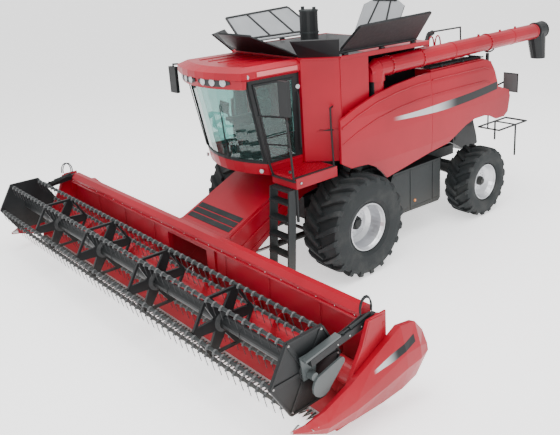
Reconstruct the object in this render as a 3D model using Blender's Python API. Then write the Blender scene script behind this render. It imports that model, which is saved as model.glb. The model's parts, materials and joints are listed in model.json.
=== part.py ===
"""Combine harvester with a cutting header, modelled as an assembly of separate closed solids.

Machine frame used below: metres, +Z up, the machine faces -Y and its left side is +X.
y = 0 is the front axle.  Every object hangs on one empty that moves the origin to the
middle of the machine's length.  A moving piece has its own origin on its joint's axis.
"""

import math

import bmesh
import bpy
from mathutils import Matrix, Vector

# ------------------------------------------------------------------ driving dimensions
GAP = 0.0003                 # gap between faces that touch
RUN = 0.006                  # running clearance between bodies that move
PIN_GAP = 0.0008             # clearance at hubs and pins

WHEELBASE = 3.78
FRONT_R, FRONT_W, FRONT_X = 0.93, 0.80, 1.45      # front tyre radius, width, track / 2
REAR_R, REAR_W, REAR_X = 0.75, 0.60, 1.44         # rear tyre radius, width, track / 2
KINGPIN_X = 1.00
STEER_DEG = 40.0

RAIL_X, RAIL_W, RAIL_Z, RAIL_H = 0.50, 0.12, 1.12, 0.22
RAIL_Y = (-0.45, 4.09)

HULL_X = 0.80                                     # half width of the separator housing
HULL_Z = (RAIL_Z + RAIL_H + GAP, 2.12)
HULL_Y = (-0.10, 4.35)

TANK_X = 1.40                                     # half width of the grain tank
TANK_Y = (-0.64, 2.20)
TANK_Z = (HULL_Z[1], 3.92)
TANK_WALL = 0.04
TANK_CHAMFER = 0.46                               # front corner chamfer, along X and Y
RECESS_X, RECESS_Y, RECESS_Z = 1.06, 0.52, (3.02, 3.84)   # niche for the unloading tube

PANEL_X = 1.56                                    # outer face of the side panels
PANEL_T = 0.045
PANEL_SPLIT_Y = 2.12
PANEL_TOP = 3.33
PANEL_HINGE = (1.49, 3.36)                        # x, z of the side panels' hinge line

CAB_X = 0.88                                      # half width of the cab
CAB_REAR_Y = TANK_Y[0] - GAP
CAB_FRONT_Y = -1.42                               # front corners of the cab at the sill
CAB_LEAN = 0.28                                   # how far the corners lean out up to the roof
CAB_BOW = 0.24                                    # how far the windscreen bows forward
CAB_Z = (2.05, 2.25, 3.68, 3.90)                  # base bottom, sill, roof bottom, roof top
GLASS = 0.012

PLATFORM = ((CAB_X + GAP, 1.50), (-1.34, -0.42), (2.02, 2.10))   # x, y, z of the landing
LADDER_X = (0.96, 1.46)
LADDER_HINGE = (1.475, -1.315)                    # x, y of the ladder's swing axis

SWING = (1.28, 0.80)                              # x, y of the unloading tube's swing axis
TUBE_R, TUBE_Z, TUBE_RISE, TUBE_LEN = 0.17, 3.59, 0.018, 5.35
COLLAR_Z = TUBE_Z - TUBE_R - 0.055                 # underside of the swinging collar
REST_X, REST_Z = 1.496, (2.90, 2.98)              # rests behind the side panels

COVER_HINGE_X, COVER_HINGE_Z = 1.36, 3.985
KNUCKLE_Z = COVER_HINGE_Z - 0.03 - PIN_GAP         # top of the blocks under the side covers' hinges
COVER_LEN, COVER_TILT = 0.79, 42.0                # panel depth, degrees above level when open
FILL_PIVOT = (0.02, 0.42, 3.30)
FLAP_HINGE_Y, FLAP_HINGE_Z = (TANK_Y[0] + 0.03, TANK_Y[1] - 0.03), 3.935
FLAP_LEN, FLAP_TILT = (0.76, 0.80), (30.0, 60.0)   # front flap, rear flap

FEEDER_PIVOT = (-0.30, 1.75)                      # y, z
FEEDER_X = 0.69
FEEDER_PIN_R = 0.06
FEEDER_FRONT_Y = -2.48

HEADER_X = 4.40                                   # inside of the header's end sheets
HEADER_BACK_Y = FEEDER_FRONT_Y - GAP
BEAM_Z, BEAM_S, BEAM_X = 1.36, 0.18, 4.18         # top of the back beam, its section, half length
FLOOR_Z, FLOOR_T = 0.10, 0.04
KNIFE_Y = -3.40
AUGER_Y, AUGER_Z, AUGER_R, AUGER_TUBE_R = -2.86, 0.50, 0.28, 0.16

REEL_Y, REEL_Z, REEL_R = -3.64, 0.97, 0.55        # reel centre and hexagon circumradius
REEL_X = 4.22                                     # outer face of the reel's end plates
REEL_PLATE_T = 0.03
BAT_ORBIT, BAT_R = 0.50, 0.024
SPIDERS = (-2.58, -0.86, 0.86, 2.58)
ARM_PIVOT = (-2.60, 1.27)                         # y, z of the reel arms' pivot
PIVOT_PIN_R = 0.022

LIFT_BASE = (-0.12, 0.50)                         # y, z of the lift cylinders' base pin
LIFT_EYE = (-1.62, 0.54)                          # y, z of the pin on the feeder house
SHAFT_R = 0.035                                   # cross shaft of the lift cylinders
LIFT_X = 0.40

DIVIDER_TIP_Y, DIVIDER_REAR_Y = -4.02, -1.89
REAR_END_Y = SWING[1] + TUBE_LEN + 0.424          # back of the unloading spout
ORIGIN_SHIFT = -(min(REEL_Y - REEL_R, DIVIDER_TIP_Y) + REAR_END_Y) / 2

COLOURS = {                                       # base colour, roughness, metallic
    "red_paint": ((0.62, 0.02, 0.03), 0.28, 0.0),
    "black_steel": ((0.025, 0.028, 0.03), 0.45, 0.3),
    "dark_grey": ((0.07, 0.08, 0.08), 0.6, 0.2),
    "silver_rim": ((0.62, 0.63, 0.64), 0.35, 0.6),
    "tyre_rubber": ((0.03, 0.035, 0.036), 0.85, 0.0),
    "cab_glass": ((0.45, 0.62, 0.6), 0.05, 0.0),
    "seat_fabric": ((0.05, 0.05, 0.055), 0.9, 0.0),
    "bare_steel": ((0.55, 0.55, 0.55), 0.3, 0.9),
}


# ------------------------------------------------------------------ modelling helpers
def clear_scene():
    for old in list(bpy.data.objects):
        bpy.data.objects.remove(old, do_unlink=True)


def material(name):
    """One Principled material per finish, shared by the pieces that have it."""
    if name in bpy.data.materials:
        return bpy.data.materials[name]
    colour, roughness, metallic = COLOURS[name]
    made = bpy.data.materials.new(name)
    made.use_nodes = True
    shader = made.node_tree.nodes["Principled BSDF"]
    shader.inputs["Base Color"].default_value = (*colour, 1.0)
    shader.inputs["Roughness"].default_value = roughness
    shader.inputs["Metallic"].default_value = metallic
    return made


def from_bmesh(bm, name="solid"):
    """An object made from a bmesh, with its faces turned outwards."""
    bmesh.ops.recalc_face_normals(bm, faces=bm.faces)
    mesh = bpy.data.meshes.new(name)
    bm.to_mesh(mesh)
    bm.free()
    obj = bpy.data.objects.new(name, mesh)
    bpy.context.scene.collection.objects.link(obj)
    return obj


def box(x, y, z):
    """An axis-aligned block from (low, high) pairs."""
    bm = bmesh.new()
    bmesh.ops.create_cube(bm, size=1.0)
    for v in bm.verts:
        v.co = Vector([lo + (hi - lo) * (c + 0.5) for (lo, hi), c in zip((x, y, z), v.co)])
    return from_bmesh(bm)


def prism(outline, axis, low, high):
    """A flat outline pushed along one axis.

    The outline's two numbers are the remaining axes in X, Y, Z order.
    """
    k = "xyz".index(axis)

    def point(a, b, c):
        p = [a, b]
        p.insert(k, c)
        return p

    bm = bmesh.new()
    bottom = [bm.verts.new(point(a, b, low)) for a, b in outline]
    face = bm.faces.new(bottom)
    pushed = bmesh.ops.extrude_face_region(bm, geom=[face])
    step = Vector(point(0.0, 0.0, high - low))
    tops = [g for g in pushed["geom"] if isinstance(g, bmesh.types.BMVert)]
    bmesh.ops.translate(bm, verts=tops, vec=step)
    return from_bmesh(bm)


def loft(sections):
    """A closed solid through rings of equally many points, capped at both ends."""
    bm = bmesh.new()
    rings = [[bm.verts.new(p) for p in ring] for ring in sections]
    for a, b in zip(rings, rings[1:]):
        for i in range(len(a)):
            j = (i + 1) % len(a)
            bm.faces.new((a[i], a[j], b[j], b[i]))
    bm.faces.new(rings[0])
    bm.faces.new(rings[-1][::-1])
    return from_bmesh(bm)


def lathe(profile, centre, segments, flat_down=True):
    """Turns a closed (x, radius) profile about the X axis through centre (x, y, z).

    With flat_down, radii are those of the facets' flats and one flat faces down.
    """
    bm = bmesh.new()
    grow = 1 / math.cos(math.pi / segments) if flat_down else 1.0
    turn = math.pi / segments if flat_down else 0.0
    cx, cy, cz = centre
    rings = []
    for x, r in profile:
        if r < 1e-6:
            rings.append([bm.verts.new((cx + x, cy, cz))])
            continue
        ring = []
        for i in range(segments):
            a = turn + 2 * math.pi * i / segments - math.pi / 2
            ring.append(bm.verts.new((cx + x, cy + r * grow * math.cos(a), cz + r * grow * math.sin(a))))
        rings.append(ring)
    for a, b in zip(rings, rings[1:] + rings[:1]):
        for i in range(segments):
            j = (i + 1) % segments
            if len(a) == 1 and len(b) == 1:
                break
            if len(a) == 1:
                bm.faces.new((a[0], b[j], b[i]))
            elif len(b) == 1:
                bm.faces.new((a[i], a[j], b[0]))
            else:
                bm.faces.new((a[i], a[j], b[j], b[i]))
    return from_bmesh(bm)


def rod(start, end, radius, sides=12, end_radius=None):
    """A round bar between two points, tapered if an end radius is given."""
    start, end = Vector(start), Vector(end)
    along = end - start
    bm = bmesh.new()
    bmesh.ops.create_cone(
        bm, cap_ends=True, segments=sides, radius1=radius,
        radius2=radius if end_radius is None else end_radius, depth=along.length)
    turn = along.to_track_quat("Z", "Y").to_matrix().to_4x4()
    bmesh.ops.transform(bm, matrix=Matrix.Translation((start + end) / 2) @ turn, verts=bm.verts)
    return from_bmesh(bm)


def rail(points, radius, sides=8):
    """A bent tube through points, with mitred corners."""
    points = [Vector(p) for p in points]
    rings = []
    side = None
    for i, p in enumerate(points):
        into = (p - points[i - 1]).normalized() if i else None
        out = (points[i + 1] - p).normalized() if i + 1 < len(points) else None
        tangent = ((into or out) + (out or into)).normalized()
        if side is None:
            side = tangent.orthogonal().normalized()
        run = out or into
        side = (side - run * side.dot(run)).normalized() if i == 0 else side
        stretch = 1 / max(0.5, tangent.dot(into or out))
        across = (side - tangent * side.dot(tangent)).normalized()
        up = tangent.cross(across)
        bend = (out - into).normalized() if into and out and (out - into).length > 1e-5 else None
        ring = []
        for k in range(sides):
            a = 2 * math.pi * k / sides
            offset = (across * math.cos(a) + up * math.sin(a)) * radius
            if bend is not None:
                offset += bend * offset.dot(bend) * (stretch - 1)
            ring.append(p + offset)
        rings.append(ring)
        side = across
    return loft(rings)


def combine(base, others, operation):
    """Applies exact Booleans to base and removes the other objects."""
    for other in others:
        change = base.modifiers.new("cut", "BOOLEAN")
        change.operation = operation
        change.solver = "EXACT"
        change.object = other
        graph = bpy.context.evaluated_depsgraph_get()
        result = bpy.data.meshes.new_from_object(base.evaluated_get(graph))
        base.modifiers.clear()
        base.data = result
        bpy.data.objects.remove(other, do_unlink=True)
    return base


def union(first, *others):
    return combine(first, others, "UNION")


def cut(first, *others):
    return combine(first, others, "DIFFERENCE")


def common(first, other):
    return combine(first, (other,), "INTERSECT")


def mirrored(obj):
    """A copy on the machine's other side."""
    bm = bmesh.new()
    bm.from_mesh(obj.data)
    bmesh.ops.transform(bm, matrix=Matrix.Diagonal((-1, 1, 1, 1)), verts=bm.verts)
    return from_bmesh(bm)


def arc(centre, radius, start, end, count):
    """Points on a circle's arc, in degrees."""
    a, b = centre
    turns = [math.radians(start + (end - start) * i / (count - 1)) for i in range(count)]
    return [(a + radius * math.cos(t), b + radius * math.sin(t)) for t in turns]


def part(name, obj, finish, origin=(0, 0, 0), smooth=True):
    """Names a finished solid, gives it its material and puts its origin on its axis."""
    origin = Vector(origin)
    obj.name = name
    obj.data.name = name
    obj.data.transform(Matrix.Translation(-origin))
    obj.location = origin
    obj.parent = MACHINE
    obj.data.materials.clear()
    obj.data.materials.append(material(finish))
    if smooth:
        obj.data.shade_smooth()
        obj.data.set_sharp_from_angle(angle=math.radians(30))
    return obj


# ------------------------------------------------------------------ running gear
def tyre_profile(radius, width, bore, flange):
    """Closed (x, radius) outline of a tyre that sits between the rim's flanges."""
    w = width / 2
    seat = flange_half_width(width) - RIM_LIP - GAP
    half = [
        (seat, bore), (seat, flange + 0.008), (w * 0.93, flange + 0.07),
        (w, (flange + radius) / 2), (w * 0.98, radius * 0.88),
        (w * 0.88, radius * 0.955), (w * 0.45, radius),
    ]
    return half + [(-x, r) for x, r in reversed(half)]


RIM_LIP = 0.02
WHEEL_SEGMENTS = 32          # shared by rim and tyre, so that their facets line up


def flange_half_width(width):
    return width / 2 - 0.05


def rim_profile(width, barrel, flange, dish, bowl):
    """Closed (x, radius) outline of a rim whose disc lies at x = dish."""
    w = flange_half_width(width)
    thick = 0.03
    return [
        (dish, 0.0), (dish, bowl), (dish + 0.05, barrel - 0.05), (w - 0.06, barrel - 0.022),
        (w, flange - 0.012), (w, flange), (w - RIM_LIP, flange), (w - RIM_LIP, barrel),
        (-w + RIM_LIP, barrel), (-w + RIM_LIP, flange), (-w, flange), (-w, flange - 0.012),
        (-w + 0.06, barrel - 0.022), (dish - thick - 0.02, barrel - 0.04),
        (dish - thick, bowl), (dish - thick, 0.0),
    ]


def wheel(where, side, x, y, radius, width, barrel, flange, dish, bowl):
    """Rim and tyre of one wheel; side is +1 on the left."""
    centre = (side * x, y, radius)
    name = f"{where}_{'left' if side > 0 else 'right'}"
    rim = [(side * a, r) for a, r in rim_profile(width, barrel, flange, dish, bowl)]
    tyre = [(side * a, r) for a, r in tyre_profile(radius, width, barrel + GAP, flange)]
    part(f"rim_{name}", lathe(rim, centre, WHEEL_SEGMENTS), "silver_rim", centre)
    part(f"tyre_{name}", lathe(tyre, centre, WHEEL_SEGMENTS), "tyre_rubber", centre)


FRONT_DISC = 0.02
REAR_DISC = 0.10


def wheels():
    for side in (1, -1):
        wheel("front", side, FRONT_X, 0.0, FRONT_R, FRONT_W, 0.406, 0.434, FRONT_DISC, 0.27)
        wheel("rear", side, REAR_X, WHEELBASE, REAR_R, REAR_W, 0.356, 0.384, REAR_DISC, 0.20)


def chassis_frame():
    """Two rails with cross members, the rear axle's hanger and the boxes behind the front wheels."""
    rails = []
    z = (RAIL_Z, RAIL_Z + RAIL_H)
    for side in (1, -1):
        x = sorted((side * RAIL_X, side * (RAIL_X + RAIL_W)))
        rails.append(box(x, RAIL_Y, z))
    for y in (RAIL_Y[0] + 0.10, 1.30, 2.60, WHEELBASE, RAIL_Y[1] - 0.10):
        rails.append(box((-RAIL_X - 0.05, RAIL_X + 0.05), (y - 0.07, y + 0.07), (z[0] + 0.03, z[1] - 0.03)))
    for y in (WHEELBASE - 0.20, WHEELBASE + 0.20):
        rails.append(box((-0.16, 0.16), (y - 0.02, y + 0.02), (0.80, z[0] + 0.08)))
        lo, hi = sorted((y, WHEELBASE))
        rails.append(box((-0.16, 0.16), (lo, hi), (z[0] + 0.035, z[0] + 0.075)))
    for side in (1, -1):
        x = sorted((side * (RAIL_X + 0.05), side * 1.00))
        for y in (1.45, 2.25):
            rails.append(box(x, (y - 0.05, y + 0.05), (z[0] + 0.02, z[0] + 0.12)))
        x = sorted((side * 0.95, side * 1.34))
        outline = [(1.20, 1.50), (1.12, 1.35), (1.16, 0.64), (2.60, 0.58), (2.66, 0.64), (2.66, 1.50)]
        rails.append(prism(outline, "x", *x))
    part("chassis_frame", union(*rails), "dark_grey")


def front_axle():
    """Drive axle with its final drives and hubs, and the lift cylinders' lugs."""
    top = RAIL_Z - GAP
    pieces = [box((-0.74, 0.74), (-0.17, 0.17), (0.74, top))]
    hub_end = FRONT_X + FRONT_DISC - 0.03 - PIN_GAP
    for side in (1, -1):
        x = sorted((side * 0.70, side * 0.98))
        pieces.append(box(x, (-0.22, 0.24), (0.66, 1.24)))
        pieces.append(rod((side * 0.93, 0, FRONT_R), (side * hub_end, 0, FRONT_R), 0.23, 24))
    for side in (1, -1):
        for offset in (-0.085, 0.085):
            x = side * LIFT_X + offset
            y, z = LIFT_BASE
            ear = [(0.10, 0.80), (0.10, z + 0.06)] + arc((y, z), 0.075, 0, -180, 7) + [(y - 0.075, 0.80)]
            pieces.append(prism(ear, "x", x - 0.012, x + 0.012))
    pin_way = rod((-0.7, *LIFT_BASE), (0.7, *LIFT_BASE), SHAFT_R + 0.002, 14)
    part("front_axle", cut(union(*pieces), pin_way), "dark_grey")


def rear_axle():
    """Steered axle beam that rocks on a centre pin, with a fork at each end."""
    y, z = WHEELBASE, REAR_R
    pieces = [box((-0.90, 0.90), (y - 0.11, y + 0.11), (0.80, 1.02))]
    pieces.append(rod((0, y - 0.18 + GAP, 0.93), (0, y + 0.18 - GAP, 0.93), 0.07, 16))
    for side in (1, -1):
        for low, high in ((0.52, 0.60), (0.98, 1.06)):
            x = sorted((side * 0.86, side * KINGPIN_X))
            pieces.append(box(x, (y - 0.09, y + 0.09), (low, high)))
            centre = (side * KINGPIN_X, y)
            pieces.append(rod((*centre, low), (*centre, high), 0.09, 20))
        x = sorted((side * 0.78, side * 0.88))
        pieces.append(box(x, (y - 0.09, y + 0.09), (0.52, 1.06)))
    part("rear_axle", union(*pieces), "dark_grey")


def knuckles():
    """Steering knuckles: a kingpin barrel between the fork's ears and the wheel's hub."""
    for side in (1, -1):
        centre = (side * KINGPIN_X, WHEELBASE)
        barrel = rod((*centre, 0.60 + RUN), (*centre, 0.98 - RUN), 0.085, 20)
        hub_end = REAR_X + REAR_DISC - 0.03 - PIN_GAP
        neck = rod((side * KINGPIN_X, WHEELBASE, REAR_R), (side * hub_end, WHEELBASE, REAR_R), 0.12, 24)
        hub = rod((side * 1.17, WHEELBASE, REAR_R), (side * hub_end, WHEELBASE, REAR_R), 0.16, 24)
        arm_x = sorted((side * (KINGPIN_X - 0.02), side * (KINGPIN_X + 0.03)))
        arm = box(arm_x, (WHEELBASE - 0.30, WHEELBASE), (0.70, 0.76))
        name = f"knuckle_{'left' if side > 0 else 'right'}"
        part(name, union(barrel, neck, hub, arm), "dark_grey", (*centre, REAR_R))


# ------------------------------------------------------------------ body
def separator_housing():
    """The threshing and cleaning body between the wheels."""
    low, high = HULL_Z
    y0, y1 = HULL_Y
    step_y, step_z = 2.95, 1.62
    outline = [
        (y0, low), (step_y - 0.35, low), (step_y, step_z), (y1, step_z), (y1, high - GAP), (y0, high - GAP),
    ]
    body = prism(outline, "x", -HULL_X, HULL_X)
    belly = prism([(0.45, 0.86), (2.35, 0.86), (2.65, low + 0.05), (0.45, low + 0.05)], "x",
                  -RAIL_X + 0.02, RAIL_X - 0.02)
    throat = box((-FEEDER_X, FEEDER_X), (y0 - 0.1, y0 + 0.30), (1.45, 2.02))
    housing = cut(union(body, belly), cross_member_slot(1.30), cross_member_slot(2.60), throat)
    cheeks = []
    for side in (1, -1):
        x = sorted((side * (FEEDER_X + 0.012), side * (HULL_X - 0.02)))
        cheeks.append(box(x, (FEEDER_PIVOT[0] - 0.12, y0 + 0.05), (1.60, 1.92)))
        pin_way = rod((-1, *FEEDER_PIVOT), (1, *FEEDER_PIVOT), FEEDER_PIN_R + PIN_GAP, 20)
        cheeks[-1] = cut(cheeks[-1], pin_way)
    part("separator_housing", union(housing, *cheeks), "black_steel")


def cross_member_slot(y):
    """Room for one of the frame's cross members in the housing's belly."""
    return box((-RAIL_X, RAIL_X), (y - 0.08, y + 0.08), (RAIL_Z, RAIL_Z + RAIL_H))


def tank_plan(inset):
    """Plan of the tank with its chamfered front corners, moved inwards by inset."""
    x, y0, y1 = TANK_X - inset, TANK_Y[0] + inset, TANK_Y[1] - inset
    c = TANK_CHAMFER - inset * (2 - math.sqrt(2))
    return [(-x + c, y0), (x - c, y0), (x, y0 + c), (x, y1), (-x, y1), (-x, y0 + c)]


def grain_tank():
    """Open hopper with sloping sides and the unloading tube's niche on the left."""
    low, high = TANK_Z
    inner, y0, y1 = TANK_X - TANK_WALL, TANK_Y[0] + TANK_WALL, TANK_Y[1] - TANK_WALL

    def ring(x, z):
        return [(-x, y0, z), (x, y0, z), (x, y1, z), (-x, y1, z)]

    space = loft([ring(0.40, 2.40), ring(inner, 3.00), ring(inner, high + 0.1)])
    space = common(space, prism(tank_plan(TANK_WALL), "z", low - 0.1, high + 0.2))
    keep = box((RECESS_X - TANK_WALL, 2.0), (RECESS_Y - TANK_WALL, 3.0), (RECESS_Z[0] - TANK_WALL, 5.0))
    space = cut(space, keep)
    niche = box((RECESS_X, TANK_X + 0.1), (RECESS_Y, TANK_Y[1] + 0.1), RECESS_Z)
    tank = cut(prism(tank_plan(0.0), "z", low, high), space, niche)
    x, y = SWING
    foot = RECESS_Z[0] - 0.02
    stand = rod((x, y, foot), (x, y, COLLAR_Z - PIN_GAP), 0.165, 20)
    collar = rod((x, y, foot), (x, y, RECESS_Z[0] + 0.03), 0.18, 20)
    fixtures = [stand, collar, fill_auger_base()]
    for side in (1, -1):
        for y in (-0.06, 0.86, 1.72):
            fixtures.append(box(sorted((side * 1.34, side * 1.40)), (y, y + 0.10), (high - 0.03, KNUCKLE_Z)))
        for y in (0.00, 1.85):
            fixtures.append(box(sorted((side * 1.36, side * REST_X)), (y, y + 0.08), REST_Z))
        fixtures.append(corner_skirt(side))
    part("grain_tank", union(tank, *fixtures), "red_paint")


def corner_skirt(side):
    """Low flared extension above one chamfered front corner of the tank."""
    rim = ((TANK_X - TANK_CHAMFER - 0.01, TANK_Y[0] + 0.003), (TANK_X - 0.003, TANK_Y[0] + TANK_CHAMFER + 0.01))
    tips = ((1.10, -0.98), (1.60, -0.36))
    base_z, tip_z, thick = TANK_Z[1] - 0.03, 4.25, 0.014
    inner, outer = [], []
    for (bx, by), (tx, ty) in zip(rim, tips):
        inner.append([(bx - 0.02, by + 0.02, base_z), (tx - 0.02, ty + 0.02, tip_z)])
        outer.append([(bx, by, base_z - thick), (tx, ty, tip_z - thick)])
    rings = []
    for a, b in zip(inner, outer):
        rings.append([(side * x, y, z) for x, y, z in (a[0], a[1], b[1], b[0])])
    return loft(rings)


def fill_auger_base():
    """Fixed lower half of the filling auger, with the two ears that its upper half folds on."""
    x, y, z = FILL_PIVOT
    tube = rod((x, y, 2.38), (x, y, z - 0.19), 0.16, 20)
    ears = []
    for side in (1, -1):
        lo, hi = sorted((x + side * 0.145, x + side * 0.245))
        foot = box((lo, hi), (y - 0.06, y + 0.06), (z - 0.30, z - 0.22))
        lo, hi = sorted((x + side * 0.215, x + side * 0.245))
        ears += [foot, box((lo, hi), (y - 0.06, y + 0.06), (z - 0.30, z + 0.07))]
    pin_way = rod((x - 0.4, y, z), (x + 0.4, y, z), 0.03 + PIN_GAP, 16)
    return cut(union(tube, *ears), pin_way)


def rear_outline(inset):
    """Side view of the rear body, moved inwards by inset (open below)."""
    i = inset
    return [
        (TANK_Y[1] + GAP + i, HULL_Z[1]), (TANK_Y[1] + GAP + i, 3.36 - i), (3.95, 3.36 - i),
        (4.26 - i, 3.26 - i), (4.46 - i, 2.72 - i), (4.86 - i, 2.54 - i), (4.86 - i, 2.08 + i),
        (4.42 + i, 2.02 + i), (4.42 + i, HULL_Z[1]),
    ]


def rear_body():
    """Hollow engine hood and tail; the engine stands inside it."""
    x = PANEL_X - PANEL_T - 0.07
    hood = prism(rear_outline(0.0), "x", -x, x)
    space = prism([(y, z if z > HULL_Z[1] else z - 0.1) for y, z in rear_outline(0.04)],
                  "x", -x + 0.04, x - 0.04)
    hood = cut(hood, space)
    intake = box((-1.05, -0.15), (2.45, 3.35), (3.34, 3.50))
    rests = []
    for side in (1, -1):
        for y in (2.35, 3.95):
            rests.append(box(sorted((side * (x - 0.02), side * REST_X)), (y, y + 0.08), REST_Z))
    part("rear_body", union(hood, intake, *rests), "red_paint")


def engine_block():
    z = HULL_Z[1]
    part("engine_block", box((-0.75, 0.75), (2.75, 3.70), (z, z + 0.80)), "dark_grey", smooth=False)


def chopper_housing():
    """Straw chopper and deflector under the tail."""
    top = 1.62 - GAP
    outline = [
        (4.10, top), (4.10, 1.36), (4.62, 1.06), (5.06, 1.16), (5.02, 1.36),
        (4.78, 2.02 - 0.02), (HULL_Y[1] + GAP, 2.0), (HULL_Y[1] + GAP, top),
    ]
    part("chopper_housing", prism(outline, "x", -0.60, 0.60), "black_steel")


def panel_section(inset):
    """Cross-section (x, z) of the side panels' skin."""
    return [
        (PANEL_X - 0.10 - inset, 1.35), (PANEL_X - 0.01 - inset, 1.95), (PANEL_X - inset, 2.45),
        (PANEL_X - 0.005 - inset, 2.85), (PANEL_X - 0.03 - inset, 3.12), (PANEL_X - 0.075 - inset, 3.40),
    ]


def front_panel_outline():
    """Side view (y, z): a rising curved top edge and the wheel arch below."""
    split = PANEL_SPLIT_Y - RUN / 2
    top = [(-0.36, 2.88), (0.05, 3.03), (0.55, 3.17), (1.10, 3.26), (1.65, 3.31), (split, PANEL_TOP)]
    arch = [(0.86, 1.56), (0.72, 1.70), (0.52, 1.86), (0.30, 1.965), (0.08, 1.985), (-0.12, 1.99)]
    return top + [(split, 1.77)] + arch + [(-0.36, 2.13)]


def rear_panel_outline():
    """Side view (y, z): the tail, and the arch over the rear wheel."""
    split = PANEL_SPLIT_Y + RUN / 2
    return [
        (split, PANEL_TOP), (3.0, 3.335), (3.95, 3.335), (4.16, 3.27), (4.28, 3.05), (4.38, 2.72),
        (4.80, 2.58), (4.86, 2.44), (4.80, 2.10), (4.66, 2.01), (4.36, 2.01), (4.12, 2.12),
        (3.85, 2.18), (3.55, 2.17), (3.25, 2.10), (2.95, 1.97), (2.65, 1.83), (split, 1.77),
    ]


def side_panels():
    """Two large panels a side, hinged along their top edges."""
    for where, outline in (("front", front_panel_outline()), ("rear", rear_panel_outline())):
        skin = panel_section(0.0) + list(reversed(panel_section(PANEL_T)))
        shell = prism(skin, "y", -0.6, 5.2)
        slab = prism(outline, "x", 1.2, 1.8)
        left = common(slab, shell)
        right = mirrored(left)
        x, z = PANEL_HINGE
        y = 1.6 if where == "front" else 2.8
        part(f"side_panel_{where}_left", left, "red_paint", (x, y, z))
        part(f"side_panel_{where}_right", right, "red_paint", (-x, y, z))


# ------------------------------------------------------------------ cab
def cab_plan(z_share, inset=0.0, rear=0.0):
    """Cab outline at a height share 0 (sill) to 1 (roof); the front leans out upwards."""
    x = CAB_X - inset
    corner_x, corner_y = x - 0.01, CAB_FRONT_Y - CAB_LEAN * z_share + inset * 0.6
    front = []
    for i in range(9):
        t = -1 + i / 4
        front.append((corner_x * t, corner_y - (CAB_BOW - inset * 0.2) * (1 - t * t)))
    return [(-x, CAB_REAR_Y - rear)] + front + [(x, CAB_REAR_Y - rear)]


def cab_solid(low_share, high_share, z0, z1, inset, rear=0.0):
    rings = []
    for share, z in ((low_share, z0), (high_share, z1)):
        rings.append([(x, y, z) for x, y in cab_plan(share, inset, rear)])
    return loft(rings)


def cab_base():
    """Cab floor with its raised red rim."""
    z0, z1 = CAB_Z[0], CAB_Z[1]
    base = cab_solid(-0.15, 0.0, z0, z1 - GAP, 0.0)
    well = cab_solid(0.0, 0.0, z0 + 0.08, z1 + 0.1, 0.06, 0.06)
    part("cab_base", cut(base, well), "red_paint")


def cab_opening(side, z0, z1, margin):
    """Cutter for a side window or the doorway: its front edge leans with the pillar."""
    x = sorted((side * 0.5, side * 1.2))
    return prism([(door_front(z0) + margin, z0), (DOOR_REAR - margin, z0), (DOOR_REAR - margin, z1),
                  (door_front(z1) + margin, z1)], "x", *x)


def door_front(z):
    """y of the doorway's front edge at height z."""
    share = (z - CAB_Z[1]) / (CAB_Z[2] - CAB_Z[1])
    return CAB_FRONT_Y + PILLAR - CAB_LEAN * share


PILLAR = 0.065                                    # width of the cab's front pillars
DOOR_REAR = -0.76


def cab_frame():
    """Pillars, sills and rear wall; the openings are cut for the glass and the door."""
    z0, z1 = CAB_Z[1], CAB_Z[2]
    body = cab_solid(0.0, 1.0, z0, z1 - GAP, 0.0)
    room = cab_solid(0.0, 1.0, z0 - 0.1, z1 + 0.1, 0.06, 0.05)
    body = cut(body, room)
    x = CAB_X - PILLAR
    front = box((-x, x), (-2.6, -1.2), (z0 + 0.05, z1 - 0.05))
    left = cab_opening(1, z0 - 0.1, z1 - 0.06, 0.0)
    right = cab_opening(-1, z0 + 0.06, z1 - 0.06, 0.0)
    rear = box((-0.62, 0.62), (CAB_REAR_Y - 0.2, CAB_REAR_Y + 0.1), (z0 + 0.55, z1 - 0.10))
    part("cab_frame", union(cut(body, front, left, right, rear), right_mirror()), "black_steel")


def glass_between(inset, z0, z1, keep):
    """A pane that follows the cab's outline, cut to the block keep."""
    h = CAB_Z[2] - CAB_Z[1]
    s0, s1 = (z0 - CAB_Z[1]) / h, (z1 - CAB_Z[1]) / h
    outer = cab_solid(s0, s1, z0, z1, inset)
    inner = cab_solid(s0 - 0.01, s1 + 0.01, z0 - 0.01, z1 + 0.01, inset + GLASS, 0.0)
    return common(cut(outer, inner), keep)


def cab_glass():
    """Bowed windscreen and the right-hand side window."""
    z0, z1 = CAB_Z[1] + 0.05 + GAP, CAB_Z[2] - 0.05 - GAP
    x = CAB_X - PILLAR - GAP
    keep = box((-x, x), (-2.6, -1.3), (z0 - 1, z1 + 1))
    part("windshield", glass_between(0.02, z0, z1, keep), "cab_glass")
    z0, z1 = CAB_Z[1] + 0.06 + GAP, CAB_Z[2] - 0.06 - GAP
    pane = common(cab_opening(-1, z0, z1, GAP), box((-CAB_X + 0.02, -CAB_X + 0.02 + GLASS), (-3, 0), (0, 5)))
    part("cab_glass_right", pane, "cab_glass", smooth=False)


def cab_roof():
    """Flat roof with a bowed front visor that carries the lamps."""
    z0, z1 = CAB_Z[2], CAB_Z[3]

    def ring(grow, z, ahead):
        pts = []
        for x, y in cab_plan(1.0, -grow):
            rear = y > CAB_REAR_Y - 0.01
            pts.append((x, CAB_REAR_Y if rear else y - ahead, z))
        return pts

    roof = loft([ring(0.0, z0, 0.06), ring(0.05, z0 + 0.04, 0.12), ring(0.05, z0 + 0.15, 0.12),
                 ring(-0.05, z1, 0.02)])
    low = z0 - 0.12
    visor = loft([ring(0.0, low, 0.10), ring(0.02, z0 + 0.08, 0.12)])
    inside = loft([ring(0.02, low - 0.1, 0.012), ring(0.02, z0, 0.012), ])
    keep = box((-2, 2), (-3.0, CAB_FRONT_Y - CAB_LEAN + 0.02), (low - 0.2, z1))
    part("cab_roof", union(roof, common(cut(visor, inside), keep)), "red_paint")


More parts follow.
